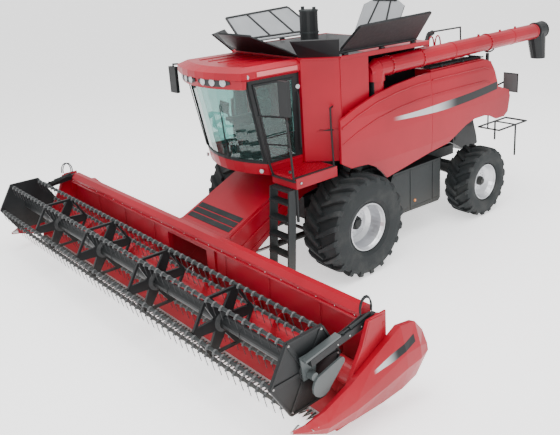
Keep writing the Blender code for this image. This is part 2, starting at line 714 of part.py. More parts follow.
def cab_door():
    """Framed glass door on the left, hinged on its rear edge; its front edge leans."""
    z0, z1 = CAB_Z[1] + RUN, CAB_Z[2] - 0.06 - RUN
    x0, x1 = CAB_X - 0.045, CAB_X + 0.005
    border = 0.035

    def outline(inset):
        low, high = z0 + inset, z1 - inset
        return [(door_front(low) + RUN + inset, low), (DOOR_REAR - RUN - inset, low),
                (DOOR_REAR - RUN - inset, high), (door_front(high) + RUN + inset, high)]

    frame = cut(prism(outline(0.0), "x", x0, x1), prism(outline(border), "x", x0 - 0.1, x1 + 0.1))
    z = z0 + 0.45
    y = (door_front(z) + 0.02, DOOR_REAR - 0.03)
    bar = rail([(x1 - 0.01, y[0], z), (x1 + 0.035, y[0] + 0.04, z), (x1 + 0.035, y[1] - 0.04, z),
                (x1 - 0.01, y[1], z)], 0.011)
    hinge = (CAB_X + 0.015, DOOR_REAR + 0.006, (z0 + z1) / 2)
    part("door_frame", union(frame, bar), "black_steel", hinge)
    pane = prism(outline(border + GAP), "x", x0 + 0.018, x0 + 0.018 + GLASS)
    part("door_glass", pane, "cab_glass", hinge, smooth=False)


def operator_station():
    """Seat, armrest console and steering column on one floor plate."""
    z = CAB_Z[0] + 0.08 + GAP
    pieces = [
        box((-0.40, 0.40), (-1.52, -0.75), (z, z + 0.03)),
        box((-0.16, 0.16), (-1.15, -0.88), (z + 0.02, z + 0.44)),
        box((-0.26, 0.26), (-1.28, -0.78), (z + 0.42, z + 0.56)),
        prism([(-0.86, z + 0.50), (-0.74, z + 0.50), (-0.70, z + 1.20), (-0.80, z + 1.20)], "x", -0.24, 0.24),
        box((-0.40, -0.25), (-1.30, -0.80), (z + 0.50, z + 0.72)),
        prism([(-1.50, z), (-1.38, z), (-1.30, z + 0.66), (-1.37, z + 0.69)], "x", -0.05, 0.05),
    ]
    tilt = Vector((0, 0.45, 1)).normalized()
    hub = Vector((0, -1.335, z + 0.66))
    pieces.append(rod(hub, hub + tilt * 0.035, 0.20, 20))
    part("operator_station", union(*pieces), "seat_fabric", smooth=False)


def right_mirror():
    """The right-hand mirror on its arm, rooted in the cab's front pillar."""
    y, z = CAB_FRONT_Y - CAB_LEAN + 0.06, CAB_Z[2] - 0.03
    arm = rail([(-CAB_X + 0.03, y, z), (-1.30, y + 0.03, z + 0.12), (-1.47, y + 0.03, z + 0.10),
                (-1.47, y + 0.03, z - 0.10)], 0.016)
    head = box((-1.58, -1.36), (y - 0.01, y + 0.05), (z - 0.42, z + 0.06))
    return union(arm, head)


# ------------------------------------------------------------------ access


def access_platform():
    """Landing beside the cab with its fascia, and the black guard rails that stand on it."""
    x, y, z = PLATFORM
    deck = box(x, y, z)
    fascia = box((x[1] - 0.03, x[1]), y, (z[0] - 0.10, z[1]))
    front = box((x[0], x[1]), (y[0], y[0] + 0.03), (z[0] - 0.10, z[1]))
    part("access_platform", union(deck, fascia, front), "red_paint", smooth=False)

    foot, top, r = z[1] + GAP, z[1] + 1.02, 0.018
    inner_x, outer_x = x[0] + 0.06, x[1] - 0.04
    front_y = y[0] - r - 0.0005
    # the front rail leans forward, out of the door's way
    rails = [
        box((inner_x - 0.04, outer_x + 0.03), (y[0] - 0.03, y[0] - GAP), (z[1] - 0.06, z[1] - 0.03)),
        box((outer_x - 0.022, outer_x + 0.03), (y[0] - 0.03, y[1] - 0.01), (foot, foot + 0.012)),
        rail([(inner_x, front_y, z[1] - 0.05), (inner_x, y[0] - 0.08, z[1] + 0.16),
              (inner_x + 0.01, y[0] - 0.26, top), (outer_x, y[0] - 0.10, top + 0.02),
              (outer_x, y[0] - 0.06, foot + 0.55), (outer_x, front_y, z[1] - 0.05)], r),
        rail([(inner_x + 0.004, y[0] - 0.157, foot + 0.53), (outer_x, y[0] - 0.06, foot + 0.57)], r * 0.8),
        rail([(outer_x + 0.002, y[1] - 0.04, foot + 0.006), (outer_x - 0.04, y[1] - 0.03, top - 0.30),
              (outer_x - 0.04, y[1] - 0.03, top - 0.02), (outer_x - 0.12, y[1] + 0.10, top - 0.02)], r * 0.9),
    ]
    mx, my, mz = outer_x + 0.06, y[0] - 0.17, top + 0.06
    stalk = rail([(outer_x, y[0] - 0.10, top - 0.02), (mx, my, mz), (mx, my, mz + 0.10)], r * 0.9)
    head = box((mx - 0.10, mx + 0.12), (my - 0.03, my + 0.03), (mz, mz + 0.55))
    part("platform_rails", union(*rails, stalk, head), "black_steel")


def ladder():
    """Steps in front of the left wheel, between two side plates; the outer rear post is its hinge."""
    top, foot, lean = PLATFORM[2][0] - 0.10 - RUN, 0.44, 0.12
    y = LADDER_HINGE[1] - 0.16
    depth = 0.16
    inside = (LADDER_X[0] + 0.01, LADDER_X[1] - 0.01)
    pieces = []
    for x in LADDER_X:
        side = -1 if x == LADDER_X[0] else 1
        lo, hi = sorted((x, x - side * 0.03))
        sheet = [(y, top), (y + depth, top), (y + depth - lean, foot), (y - lean, foot)]
        pieces.append(prism(sheet, "x", lo, hi))
    count = 5
    for i in range(count):
        share = i / (count - 1)
        z = foot + 0.04 + (top - foot - 0.28) * share
        shift = -lean * (1 - (z - foot) / (top - foot))
        pieces.append(box(inside, (y + shift - 0.02, y + shift + depth - 0.01), (z, z + 0.03)))
    hanger = box(inside, (y + 0.01, y + depth - 0.01), (top - 0.04, top - 0.01))
    hx, hy = LADDER_HINGE
    post = rod((hx - 0.012, hy, 1.35), (hx - 0.012, hy, top - 0.002), 0.025, 12)
    part("ladder", union(*pieces, hanger, post), "dark_grey", (hx, hy, 0))


def rear_rails():
    """Guard rail of the engine deck, the steel loop behind the tail and a blank plate beside it."""
    tail, deck = 4.86, 3.36
    x0, x1, r = 1.00, 1.30, 0.018
    y0, y1, z = 5.57, 6.03, 1.60
    up = rail([(x0, 2.70, deck + GAP), (x0, 2.70, 4.00), (x0, 3.76, 4.00), (x0, 3.79, deck + r + 0.010),
               (x0, 4.00, deck + 0.035), (x0, 4.32, 3.31), (x0, 4.53, 2.78), (x0, tail + 0.03, 2.60),
               (x0, tail + r + 0.002, 2.40), (x0, tail + r + 0.002, z)], r, 6)
    loop = rail([(0.75, tail + 0.02, z), (0.75, y1, z), (x1, y1, z), (x1, tail + 0.02, z)], 0.022, 8)
    bars = [
        rail([(0.75, tail + 0.02, z), (x1, tail + 0.02, z)], 0.02, 6),
        rail([(0.75, y0, z), (x1, y0, z)], 0.02, 6),
        rail([(0.75, y0, z), (0.75, y0, 1.15)], 0.022, 6),
        rail([(x1, y0, z), (x1, y0, 0.86)], 0.022, 6),
        rail([(x0, 2.70, 3.70), (x0, 3.78, 3.70)], 0.014, 6),
        rail([(x0, tail + 0.032, 2.50), (1.32, 5.0, 2.70)], 0.02, 6),
    ]
    plate = box((1.30, 1.66), (4.988, 5.008), (2.49, 2.91))
    part("rear_rails", union(up, loop, *bars, plate), "black_steel")


# ------------------------------------------------------------------ grain handling
def unload_auger():
    """Swinging tube with its elbow, and the black spout at its end."""
    x, y = SWING
    slope = math.atan(TUBE_RISE)
    along = Vector((0, math.cos(slope), math.sin(slope)))
    hub = Vector((x, y, TUBE_Z))
    start = hub + Vector((0.04, 0.0, 0.0))
    end = start + along * TUBE_LEN
    collar = rod((x, y, COLLAR_Z), (x, y, TUBE_Z), 0.19, 20)
    tube = rod(start, end, TUBE_R, 20)
    cap = rod(hub + Vector((0.02, -0.17, -0.04)), start + along * 0.02, 0.10, 20, TUBE_R)
    rings = []
    for d in (0.30, 1.18, 3.42):
        rings.append(rod(start + along * d, start + along * (d + 0.03), TUBE_R + 0.016, 20))
    axis = (hub.x, hub.y, TUBE_Z)
    part("unload_tube", union(tube, collar, cap, *rings), "red_paint", axis)

    lip = end + along * GAP
    hood = rod(lip, lip + along * 0.36, TUBE_R + 0.02, 20)
    mouth = lip + along * 0.14

    def ellipse(half_x, half_y, dy, dz, count):
        turns = turn_angles(count)
        return [tuple(mouth + Vector((half_x * math.cos(a), dy + half_y * math.sin(a), dz))) for a in turns]

    chute = loft([ellipse(0.17, 0.13, 0.06, 0.10, 16), ellipse(0.188, 0.25, 0.0, -0.06, 16),
                  ellipse(0.185, 0.245, 0.02, -0.22, 16), ellipse(0.165, 0.175, 0.11, -0.64, 16)])
    bore = loft([ellipse(0.15, 0.17, 0.04, -0.30, 12), ellipse(0.14, 0.145, 0.12, -0.80, 12)])
    tube_room = rod(start, lip, TUBE_R + 0.002, 20)
    part("unload_spout", cut(union(hood, chute), bore, tube_room), "black_steel", axis)


def turn_angles(count):
    return [2 * math.pi * i / count for i in range(count)]


def tank_covers():
    """Four raised extensions: two side covers and two end flaps, each on its own hinge."""
    t = 0.02
    tilt = math.radians(COVER_TILT)
    out, up = math.cos(tilt), math.sin(tilt)
    y0, y1 = TANK_Y[0] + 0.50, TANK_Y[1] - 0.34
    for side in (1, -1):
        hinge = Vector((side * COVER_HINGE_X, 0.0, COVER_HINGE_Z))

        def point(y, d, thick):
            """d along the cover from its hinge, thick across it."""
            return (side * (COVER_HINGE_X + d * out - thick * up), y, COVER_HINGE_Z + d * up + thick * out)

        outline = [(y0, 0.035), (y1, 0.035), (y1 - 0.28, COVER_LEN), (y0 + 0.02, COVER_LEN - 0.13)]
        sheet = loft([[point(y, d, -t / 2) for y, d in outline], [point(y, d, t / 2) for y, d in outline]])
        knuckle = rod((hinge.x, y0, hinge.z), (hinge.x, y1, hinge.z), 0.03, 10)
        strip = ((y0, 0.0), (y1, 0.0), (y1, 0.08), (y0, 0.08))
        leaf = loft([[point(y, d, -t / 4) for y, d in strip], [point(y, d, t / 4) for y, d in strip]])
        name = f"tank_cover_{'left' if side > 0 else 'right'}"
        part(name, union(sheet, leaf, knuckle), "black_steel", (hinge.x, (y0 + y1) / 2, hinge.z))
    neck = COVER_HINGE_X - COVER_LEN - 0.015
    front = [(TANK_X - TANK_CHAMFER - 0.06, 0.0), (0.80, 0.30), (0.45, FLAP_LEN[0])]
    rear = [(neck, 0.0), (neck, FLAP_LEN[1] - 0.12), (neck * 0.6, FLAP_LEN[1])]
    for i, (where, way, half) in enumerate((("front", -1, front), ("rear", 1, rear))):
        hinge_y, tilt = FLAP_HINGE_Y[i], math.radians(FLAP_TILT[i])
        out, up = math.cos(tilt), math.sin(tilt)

        def flap_point(x, d, thick):
            return (x, hinge_y + way * (d * out - thick * up), FLAP_HINGE_Z + d * up + thick * out)

        outline = half + [(-x, d) for x, d in reversed(half)]
        sheet = loft([[flap_point(x, d, -t / 2) for x, d in outline],
                      [flap_point(x, d, t / 2) for x, d in outline]])
        base = half[0][0]
        knuckle = rod((-base, hinge_y, FLAP_HINGE_Z), (base, hinge_y, FLAP_HINGE_Z), 0.0145, 10)
        part(f"tank_cover_{where}", union(sheet, knuckle), "black_steel", (0, hinge_y, FLAP_HINGE_Z))


def fill_auger():
    """Tube that lifts the grain into the tank; it folds back for the covers to close."""
    x, y, z = FILL_PIVOT
    tube = rod((x, y, z + 0.09), (x, y, 4.60), 0.17, 20)
    yoke = box((x - 0.195, x + 0.195), (y - 0.05, y + 0.05), (z - 0.05, z + 0.12))
    pin = rod((x - 0.245, y, z), (x + 0.245, y, z), 0.03, 14)
    part("fill_auger", union(tube, yoke, pin), "black_steel", FILL_PIVOT)


# ------------------------------------------------------------------ feeder and header
def feeder_house():
    """Hollow conveyor housing from the header's opening up to the separator."""
    y_front = FEEDER_FRONT_Y + GAP
    side = [(-0.16, 1.98), (-0.36, 2.00), (-2.20, 1.16), (y_front, 1.12), (y_front, 0.30),
            (-2.20, 0.34), (-0.50, 1.42), (-0.16, 1.47)]
    inner = [(-0.1, 1.93), (-0.37, 1.95), (-2.21, 1.10), (y_front - 0.1, 1.06), (y_front - 0.1, 0.36),
             (-2.18, 0.40), (-0.48, 1.47), (-0.1, 1.52)]
    x = FEEDER_X - RUN
    house = cut(prism(side, "x", -x, x), prism(inner, "x", -x + 0.04, x - 0.04))
    flange = cut(box((-0.82, 0.82), (y_front, y_front + 0.06), (0.26, 1.20)),
                 box((-x + 0.04, x - 0.04), (y_front - 0.1, y_front + 0.2), (0.36, 1.06)))
    y, z = LIFT_EYE
    lugs = []
    for s in (1, -1):
        for offset in (-0.075, 0.075):
            cx = s * LIFT_X + offset
            ear = [(y + 0.14, 0.81), (y - 0.08, 0.69)] + arc((y, z), 0.07, -180, 0, 7)
            lugs.append(prism(ear, "x", cx - 0.011, cx + 0.011))
        lugs.append(rod((s * LIFT_X - 0.10, y, z), (s * LIFT_X + 0.10, y, z), 0.028, 12))
    pins = []
    for s in (1, -1):
        pins.append(rod((s * (x - 0.02), *FEEDER_PIVOT), (s * (HULL_X - 0.02), *FEEDER_PIVOT), FEEDER_PIN_R, 20))
    part("feeder_house", union(house, flange, *lugs, *pins), "red_paint", (0, *FEEDER_PIVOT))


def lift_cylinders():
    """Two cylinders under the feeder house; each pair is joined by its cross shaft."""
    (by, bz), (ey, ez) = LIFT_BASE, LIFT_EYE
    base, eye = Vector((0, by, bz)), Vector((0, ey, ez))
    along = (eye - base).normalized()
    barrels = [rod((-LIFT_X - 0.10, by, bz), (LIFT_X + 0.10, by, bz), SHAFT_R, 14)]
    rods = []
    length = (eye - base).length
    for s in (1, -1):
        x = Vector((s * LIFT_X, 0, 0))
        barrel = rod(base + x + along * 0.02, base + x + along * (length * 0.60), 0.062, 16)
        bore = rod(base + x + along * 0.10, base + x + along * (length * 0.70), 0.036, 12)
        foot = rod(base + x - Vector((0.06, 0, 0)), base + x + Vector((0.06, 0, 0)), 0.065, 16)
        barrels += [cut(barrel, bore), foot]
        stem = rod(base + x + along * 0.14, eye + x - along * 0.07, 0.030, 12)
        ring = rod(eye + x - Vector((0.045, 0, 0)), eye + x + Vector((0.045, 0, 0)), 0.085, 16)
        hole = rod(eye + x - Vector((0.1, 0, 0)), eye + x + Vector((0.1, 0, 0)), 0.055, 16)
        rods.append(cut(union(stem, ring), hole))
    part("lift_barrels", union(*barrels), "black_steel", base)
    tie_at = base + along * (length * 0.84)
    tie = rod(tie_at - Vector((LIFT_X, 0, 0)), tie_at + Vector((LIFT_X, 0, 0)), 0.02, 10)
    part("lift_rods", union(*rods, tie), "bare_steel", base)


def header_back(offset):
    """Back sheet (y, z): down from the beam, then round behind the auger to the floor."""
    radius = AUGER_R + 0.035 + offset
    bend = arc((AUGER_Y, AUGER_Z), radius, 0, -75, 6)
    return [(AUGER_Y + radius, BEAM_Z - BEAM_S + 0.02)] + bend


def header_frame():
    """Back beam, curved back sheet, floor, cutter bar and end sheets as one weldment."""
    x = HEADER_X
    y0 = HEADER_BACK_Y
    end_t = 0.03
    beam = [(y0 - 0.02, BEAM_Z - BEAM_S), (y0 - 0.02, BEAM_Z - 0.03), (y0 - 0.06, BEAM_Z),
            (y0 - 0.15, BEAM_Z), (y0 - 0.22, BEAM_Z - 0.08), (y0 - 0.22, BEAM_Z - BEAM_S)]
    pieces = [prism(beam, "x", -BEAM_X, BEAM_X)]
    sheet = header_back(0.0) + list(reversed(header_back(0.03)))
    pieces.append(prism(sheet, "x", -x - end_t, x + end_t))
    floor = [(AUGER_Y + 0.12, FLOOR_Z + 0.02), (AUGER_Y + 0.06, FLOOR_Z + 0.08), (AUGER_Y - 0.10, FLOOR_Z + 0.06),
             (KNIFE_Y + 0.08, FLOOR_Z + FLOOR_T), (KNIFE_Y, FLOOR_Z + 0.025), (KNIFE_Y, FLOOR_Z + 0.005),
             (KNIFE_Y + 0.06, FLOOR_Z), (AUGER_Y, FLOOR_Z)]
    pieces.append(prism(floor, "x", -x - end_t, x + end_t))
    for cx in (-4.0, -2.9, -1.9, -1.0, 1.0, 1.9, 2.9, 4.0):
        rib = [(AUGER_Y + 0.02, 0.12), (y0 - 0.05, 0.12), (y0 + 0.02, 0.20), (y0 + 0.02, 1.22), (y0 - 0.05, 1.26),
               (y0 - 0.05, 0.45), (AUGER_Y + 0.26, 0.28), (AUGER_Y + 0.06, 0.165)]
        pieces.append(prism(rib, "x", cx - 0.04, cx + 0.04))
    end = [(y0 - 0.01, 0.10), (y0 - 0.01, BEAM_Z - 0.02), (y0 - 0.28, BEAM_Z - 0.02), (y0 - 0.40, 1.05),
           (y0 - 0.60, 0.72), (KNIFE_Y + 0.01, 0.24), (KNIFE_Y + 0.01, 0.11)]
    for s in (1, -1):
        pieces.append(prism(end, "x", *sorted((s * x, s * (x + end_t - 0.005)))))
    py, pz = ARM_PIVOT
    for s in (1, -1):
        ear = [(py + 0.06, pz - 0.3)] + arc((py, pz), 0.06, 0, 180, 7) + [(py - 0.06, pz - 0.3)]
        pieces.append(prism(ear, "x", *sorted((s * (x - 0.035), s * (x + 0.005)))))
        pieces.append(rod((s * (REEL_X + 0.05), py, pz), (s * (x - 0.01), py, pz), PIVOT_PIN_R, 14))
    adapter = box((-0.82, 0.82), (y0 - 0.10, y0), (0.24, 1.20))
    frame = union(*pieces, adapter)
    mouth = box((-0.60, 0.60), (y0 - 0.5, y0 + 0.1), (0.36, 1.02))
    part("header_frame", cut(frame, mouth), "red_paint", (0, *FEEDER_PIVOT))


def dividers():
    """Crop dividers: long pointed shells outside the end sheets."""
    x0 = HEADER_X + 0.03 + GAP
    y_tip, y_rear = DIVIDER_TIP_Y, DIVIDER_REAR_Y

    def ring(y, low, high, out, inner=x0, ridge=0.6):
        """Cross-section at y: flat inside, bulged outside, ridge on top."""
        mid = low + (high - low) * ridge
        return [(inner, y, low), (inner + out * 0.55, y, low), (inner + out, y, low + (high - low) * 0.38),
                (inner + out * 0.92, y, mid), (inner + out * 0.45, y, high), (inner, y, high - 0.02)]

    stations = [
        ring(y_tip, 0.38, 0.42, 0.03, x0 - 0.10), ring(-3.86, 0.33, 0.46, 0.07, x0 - 0.04),
        ring(-3.62, 0.24, 0.54, 0.13), ring(-3.20, 0.19, 0.69, 0.17),
        ring(-2.70, 0.18, 0.92, 0.20), ring(-2.34, 0.20, 1.09, 0.22),
        ring(-2.06, 0.26, 1.04, 0.215), ring(y_rear, 0.42, 0.84, 0.18),
    ]
    left = loft(stations)
    right = mirrored(left)
    part("divider_left", left, "red_paint", (0, *FEEDER_PIVOT))
    part("divider_right", right, "red_paint", (0, *FEEDER_PIVOT))


def helix_flight(start, turns, pitch, hand, tube_r, outer_r, thick, steps=10):
    """One helical flight around the intake auger, as a closed ribbon."""
    rings = []
    count = int(turns * steps)
    for i in range(count + 1):
        a = hand * 2 * math.pi * i / steps + 0.11
        x = start + pitch * i / steps
        ring = []
        for r, dx in ((tube_r, 0), (outer_r, 0), (outer_r, thick), (tube_r, thick)):
            ring.append((x + dx, AUGER_Y + r * math.cos(a), AUGER_Z + r * math.sin(a)))
        rings.append(ring)
    return loft(rings)


def intake_auger():
    """Drum with left- and right-hand flights that meet at the middle."""
    half = HEADER_X - 0.05
    tube = rod((-half, AUGER_Y, AUGER_Z), (half, AUGER_Y, AUGER_Z), AUGER_TUBE_R, 24)
    stub = rod((-HEADER_X + GAP, AUGER_Y, AUGER_Z), (HEADER_X - GAP, AUGER_Y, AUGER_Z), 0.04, 12)
    pitch, turns = 0.56, 6
    run = pitch * turns
    left = helix_flight(half - 0.06 - run, turns, pitch, 1, AUGER_TUBE_R - 0.02, AUGER_R, 0.012)
    right = helix_flight(-half + 0.05, turns, pitch, -1, AUGER_TUBE_R - 0.02, AUGER_R, 0.012)
    part("intake_auger", union(tube, stub, left, right), "red_paint", (0, AUGER_Y, AUGER_Z))


# ------------------------------------------------------------------ reel
def hexagon(radius, phase=0.0):
    """Corners (y, z) round the reel's centre; bats sit at the corners."""
    pts = []
    for k in range(6):
        a = math.radians(60 * k + phase)
        pts.append((REEL_Y + radius * math.cos(a), REEL_Z + radius * math.sin(a)))
    return pts


def reel():
    """Centre tube, spiders with triangular windows and the hexagonal end plates."""
    pieces = [rod((-REEL_X, REEL_Y, REEL_Z), (REEL_X, REEL_Y, REEL_Z), 0.085, 18)]
    seat = BAT_ORBIT - BAT_R - GAP
    for x in SPIDERS:
        corners = []
        for k in range(6):
            a = math.radians(60 * k)
            for turn in (-1, 1):
                w = 0.035
                corners.append((REEL_Y + seat * math.cos(a) - turn * w * math.sin(a),
                                REEL_Z + seat * math.sin(a) + turn * w * math.cos(a)))
        plate = prism(corners, "x", x - 0.02, x + 0.02)
        windows = []
        for k in range(6):
            a0, a1 = math.radians(60 * k), math.radians(60 * k + 60)
            mid = (a0 + a1) / 2
            near, far = 0.17, seat * 0.88
            tri = [(REEL_Y + near * math.cos(mid), REEL_Z + near * math.sin(mid)),
                   (REEL_Y + far * math.cos(a0 + 0.16), REEL_Z + far * math.sin(a0 + 0.16)),
                   (REEL_Y + far * math.cos(a1 - 0.16), REEL_Z + far * math.sin(a1 - 0.16))]
            windows.append(prism(tri, "x", x - 0.1, x + 0.1))
        pieces.append(cut(plate, *windows))
    for s in (1, -1):
        x = sorted((s * REEL_X, s * (REEL_X - REEL_PLATE_T)))
        pieces.append(prism(hexagon(REEL_R), "x", *x))
    hubs = rod((-REEL_X - 0.03, REEL_Y, REEL_Z), (REEL_X + 0.03, REEL_Y, REEL_Z), 0.05, 14)
    part("reel", union(*pieces, hubs), "black_steel", (0, REEL_Y, REEL_Z))


def bats():
    """Six tine bars that turn in the spiders, so that their tines always hang down."""
    half = REEL_X - REEL_PLATE_T - GAP
    for k, (y, z) in enumerate(hexagon(BAT_ORBIT)):
        bar = rod((-half, y, z), (half, y, z), BAT_R, 10)
        part(f"tine_bar_{k + 1}", bar, "dark_grey", (0, y, z))


def reel_arms():
    """Arms from the back beam's ends, and the hub carriers that slide along them."""
    py, pz = ARM_PIVOT
    inner = REEL_X + 0.03 + RUN
    x0, x1 = inner + 0.026, inner + 0.096
    slope = Vector((-1.0, -0.16)).normalized()
    hub = Vector((REEL_Y, REEL_Z + 0.16))
    tail, nose = hub - slope * 0.36, hub + slope * 0.03
    up = Vector((slope.y, -slope.x))
    h = 0.045
    for s in (1, -1):
        end = arc((py, pz), 0.05, -100, 80, 9)
        arm = end + [tuple(tail + up * h), tuple(nose + up * h), tuple(nose - up * h), tuple(tail - up * h)]
        pin_way = rod((s * 4.0, py, pz), (s * 4.5, py, pz), PIVOT_PIN_R + PIN_GAP, 14)
        beam = cut(prism(arm, "x", *sorted((s * x0, s * x1))), pin_way)
        side = "left" if s > 0 else "right"
        part(f"reel_arm_{side}", beam, "black_steel", (0, py, pz))
        plate = [(REEL_Y + 0.09, REEL_Z - 0.08), (REEL_Y + 0.13, REEL_Z + 0.24), (REEL_Y - 0.13, REEL_Z + 0.24),
                 (REEL_Y - 0.09, REEL_Z - 0.08)]
        web = prism(plate, "x", *sorted((s * inner, s * (x0 - RUN))))
        a, b = hub - slope * 0.46, hub + slope * 0.10
        shoe = [tuple(a + up * (h + RUN)), tuple(a + up * (h + 0.035)), tuple(b + up * (h + 0.035)),
                tuple(b + up * (h + RUN))]
        saddle = prism(shoe, "x", *sorted((s * inner, s * x1)))
        pieces = [web, saddle]
        if s > 0:
            pieces += drive_shield(inner, x1)
        part(f"reel_carrier_{side}", union(*pieces), "black_steel", (0, REEL_Y, REEL_Z))


def drive_shield(inner, arm_face):
    """Teardrop cover of the reel's drive, outside the left arm, on a boss that passes under it."""
    low, high = Vector((REEL_Y + 0.10, REEL_Z - 0.17)), Vector((REEL_Y + 0.40, REEL_Z - 0.01))
    outline = arc(tuple(low), 0.15, 118, 332, 9) + arc(tuple(high), 0.06, -20, 110, 5)
    shield = prism(outline, "x", arm_face + RUN, HEADER_X - 0.012)
    boss = rod((inner, REEL_Y, REEL_Z - 0.02), (arm_face + RUN + 0.01, REEL_Y, REEL_Z - 0.02), 0.05, 14)
    return [boss, shield]


def build():
    clear_scene()
    global MACHINE
    MACHINE = bpy.data.objects.new("machine", None)
    MACHINE.location = (0, ORIGIN_SHIFT, 0)
    bpy.context.scene.collection.objects.link(MACHINE)
    for make in (
        wheels, chassis_frame, front_axle, rear_axle, knuckles,
        separator_housing, grain_tank, rear_body, engine_block,
        chopper_housing, side_panels,
        cab_base, cab_frame, cab_glass, cab_roof, cab_door, operator_station,
        access_platform, ladder, rear_rails,
        unload_auger, tank_covers, fill_auger,
        feeder_house, lift_cylinders, header_frame, dividers, intake_auger,
        reel, bats, reel_arms,
    ):
        make()


build()
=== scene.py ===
"""Looks of the combine harvester: materials, fine parts, floor, lights and camera.

Lengths are metres.  at(x, y, z) places a point whose y counts from the front axle,
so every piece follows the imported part.
"""

import json
import math

import bmesh
import bpy
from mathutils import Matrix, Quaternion, Vector


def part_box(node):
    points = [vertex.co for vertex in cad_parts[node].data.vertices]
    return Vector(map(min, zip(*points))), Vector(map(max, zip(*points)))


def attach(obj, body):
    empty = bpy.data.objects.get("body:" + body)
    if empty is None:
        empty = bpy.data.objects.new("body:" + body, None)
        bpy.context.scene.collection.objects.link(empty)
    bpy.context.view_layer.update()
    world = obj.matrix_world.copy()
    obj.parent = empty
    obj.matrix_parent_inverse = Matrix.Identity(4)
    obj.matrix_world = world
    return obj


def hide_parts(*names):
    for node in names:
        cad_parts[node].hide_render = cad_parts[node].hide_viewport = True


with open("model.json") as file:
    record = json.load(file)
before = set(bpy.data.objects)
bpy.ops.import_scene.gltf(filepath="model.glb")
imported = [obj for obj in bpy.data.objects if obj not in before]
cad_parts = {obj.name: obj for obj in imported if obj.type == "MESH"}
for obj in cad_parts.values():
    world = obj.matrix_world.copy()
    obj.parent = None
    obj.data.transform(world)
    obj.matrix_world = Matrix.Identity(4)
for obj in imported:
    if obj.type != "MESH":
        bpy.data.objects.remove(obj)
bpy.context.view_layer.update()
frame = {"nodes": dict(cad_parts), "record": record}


def middle(node, axis):
    low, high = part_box(node)
    return (low[axis] + high[axis]) / 2


AXLE_Y = middle("tyre_front_left", 1)
SIDES = (("left", 1), ("right", -1))
X = Vector((1, 0, 0))
Y = Vector((0, 1, 0))
Z = Vector((0, 0, 1))


def at(x, y, z):
    """A point whose y counts from the front axle."""
    return Vector((x, y + AXLE_Y, z))


# ------------------------------------------------------------------ materials
class Finish:
    """A Principled material and the few node recipes that the finishes share."""

    def __init__(self, name, **sockets):
        self.material = bpy.data.materials.new(name)
        self.material.use_nodes = True
        self.nodes = self.material.node_tree.nodes
        self.links = self.material.node_tree.links
        self.bsdf = self.nodes["Principled BSDF"]
        for key, value in sockets.items():
            self.bsdf.inputs[key.replace("_", " ")].default_value = value
        coords = self.nodes.new("ShaderNodeTexCoord")
        self.place, self.normal = coords.outputs["Object"], coords.outputs["Normal"]
        split = self.add("ShaderNodeSeparateXYZ", {}, self.place)
        self.x, self.y, self.z = split.outputs

    def add(self, kind, settings, *inputs):
        """A node with its settings, and its inputs in socket order (None leaves one alone)."""
        node = self.nodes.new(kind)
        for key, value in settings.items():
            setattr(node, key, value)
        for socket, value in zip(node.inputs, inputs):
            if isinstance(value, bpy.types.NodeSocket):
                self.links.new(value, socket)
            elif value is not None:
                socket.default_value = value
        return node

    def calc(self, operation, a, b=None, c=None, clamp=False):
        node = self.add("ShaderNodeMath", {"operation": operation, "use_clamp": clamp}, a, b, c)
        return node.outputs[0]

    def noise(self, scale, detail=4.0, rough=0.55):
        node = self.add("ShaderNodeTexNoise", {}, self.place, None, scale, detail, rough)
        return node.outputs["Fac"]

    def span(self, value, low, high, to_low=0.0, to_high=1.0):
        """value from low..high becomes to_low..to_high, smoothly, and stays inside them."""
        smooth = {"interpolation_type": "SMOOTHSTEP"}
        node = self.add("ShaderNodeMapRange", smooth, value, low, high, to_low, to_high)
        return node.outputs[0]

    def band(self, value, low, high, soft=0.004):
        """1 where value is between low and high."""
        rise = self.span(value, low - soft, low + soft)
        fall = self.span(value, high - soft, high + soft, 1.0, 0.0)
        return self.calc("MULTIPLY", rise, fall)

    def both(self, *masks):
        result = masks[0]
        for mask in masks[1:]:
            result = self.calc("MULTIPLY", result, mask)
        return result

    def mix(self, share, a, b):
        node = self.nodes.new("ShaderNodeMix")
        node.data_type = "RGBA"
        for socket, value in ((node.inputs[0], share), (node.inputs[6], a), (node.inputs[7], b)):
            if isinstance(value, bpy.types.NodeSocket):
                self.links.new(value, socket)
            else:
                socket.default_value = value if isinstance(value, float) else (*value, 1.0)
        return node.outputs[2]

    def facing(self, direction):
        """1 where the surface faces the direction, in the piece's own axes."""
        unit = Vector(direction).normalized()
        node = self.add("ShaderNodeVectorMath", {"operation": "DOT_PRODUCT"}, self.normal, tuple(unit))
        return self.span(node.outputs["Value"], 0.45, 0.55)

    def relief(self, height, strength, depth):
        node = self.add("ShaderNodeBump", {}, strength, depth)
        self.links.new(height, node.inputs["Height"])
        self.links.new(node.outputs[0], self.bsdf.inputs["Normal"])

    def set(self, socket, value):
        self.links.new(value, self.bsdf.inputs[socket])


DUST = (0.27, 0.235, 0.19)
RED = (0.30, 0.001, 0.013)
DEEP_RED = (0.22, 0.001, 0.009)
INK = (0.004, 0.005, 0.006)
LIGHT_GREY = (0.44, 0.45, 0.46)


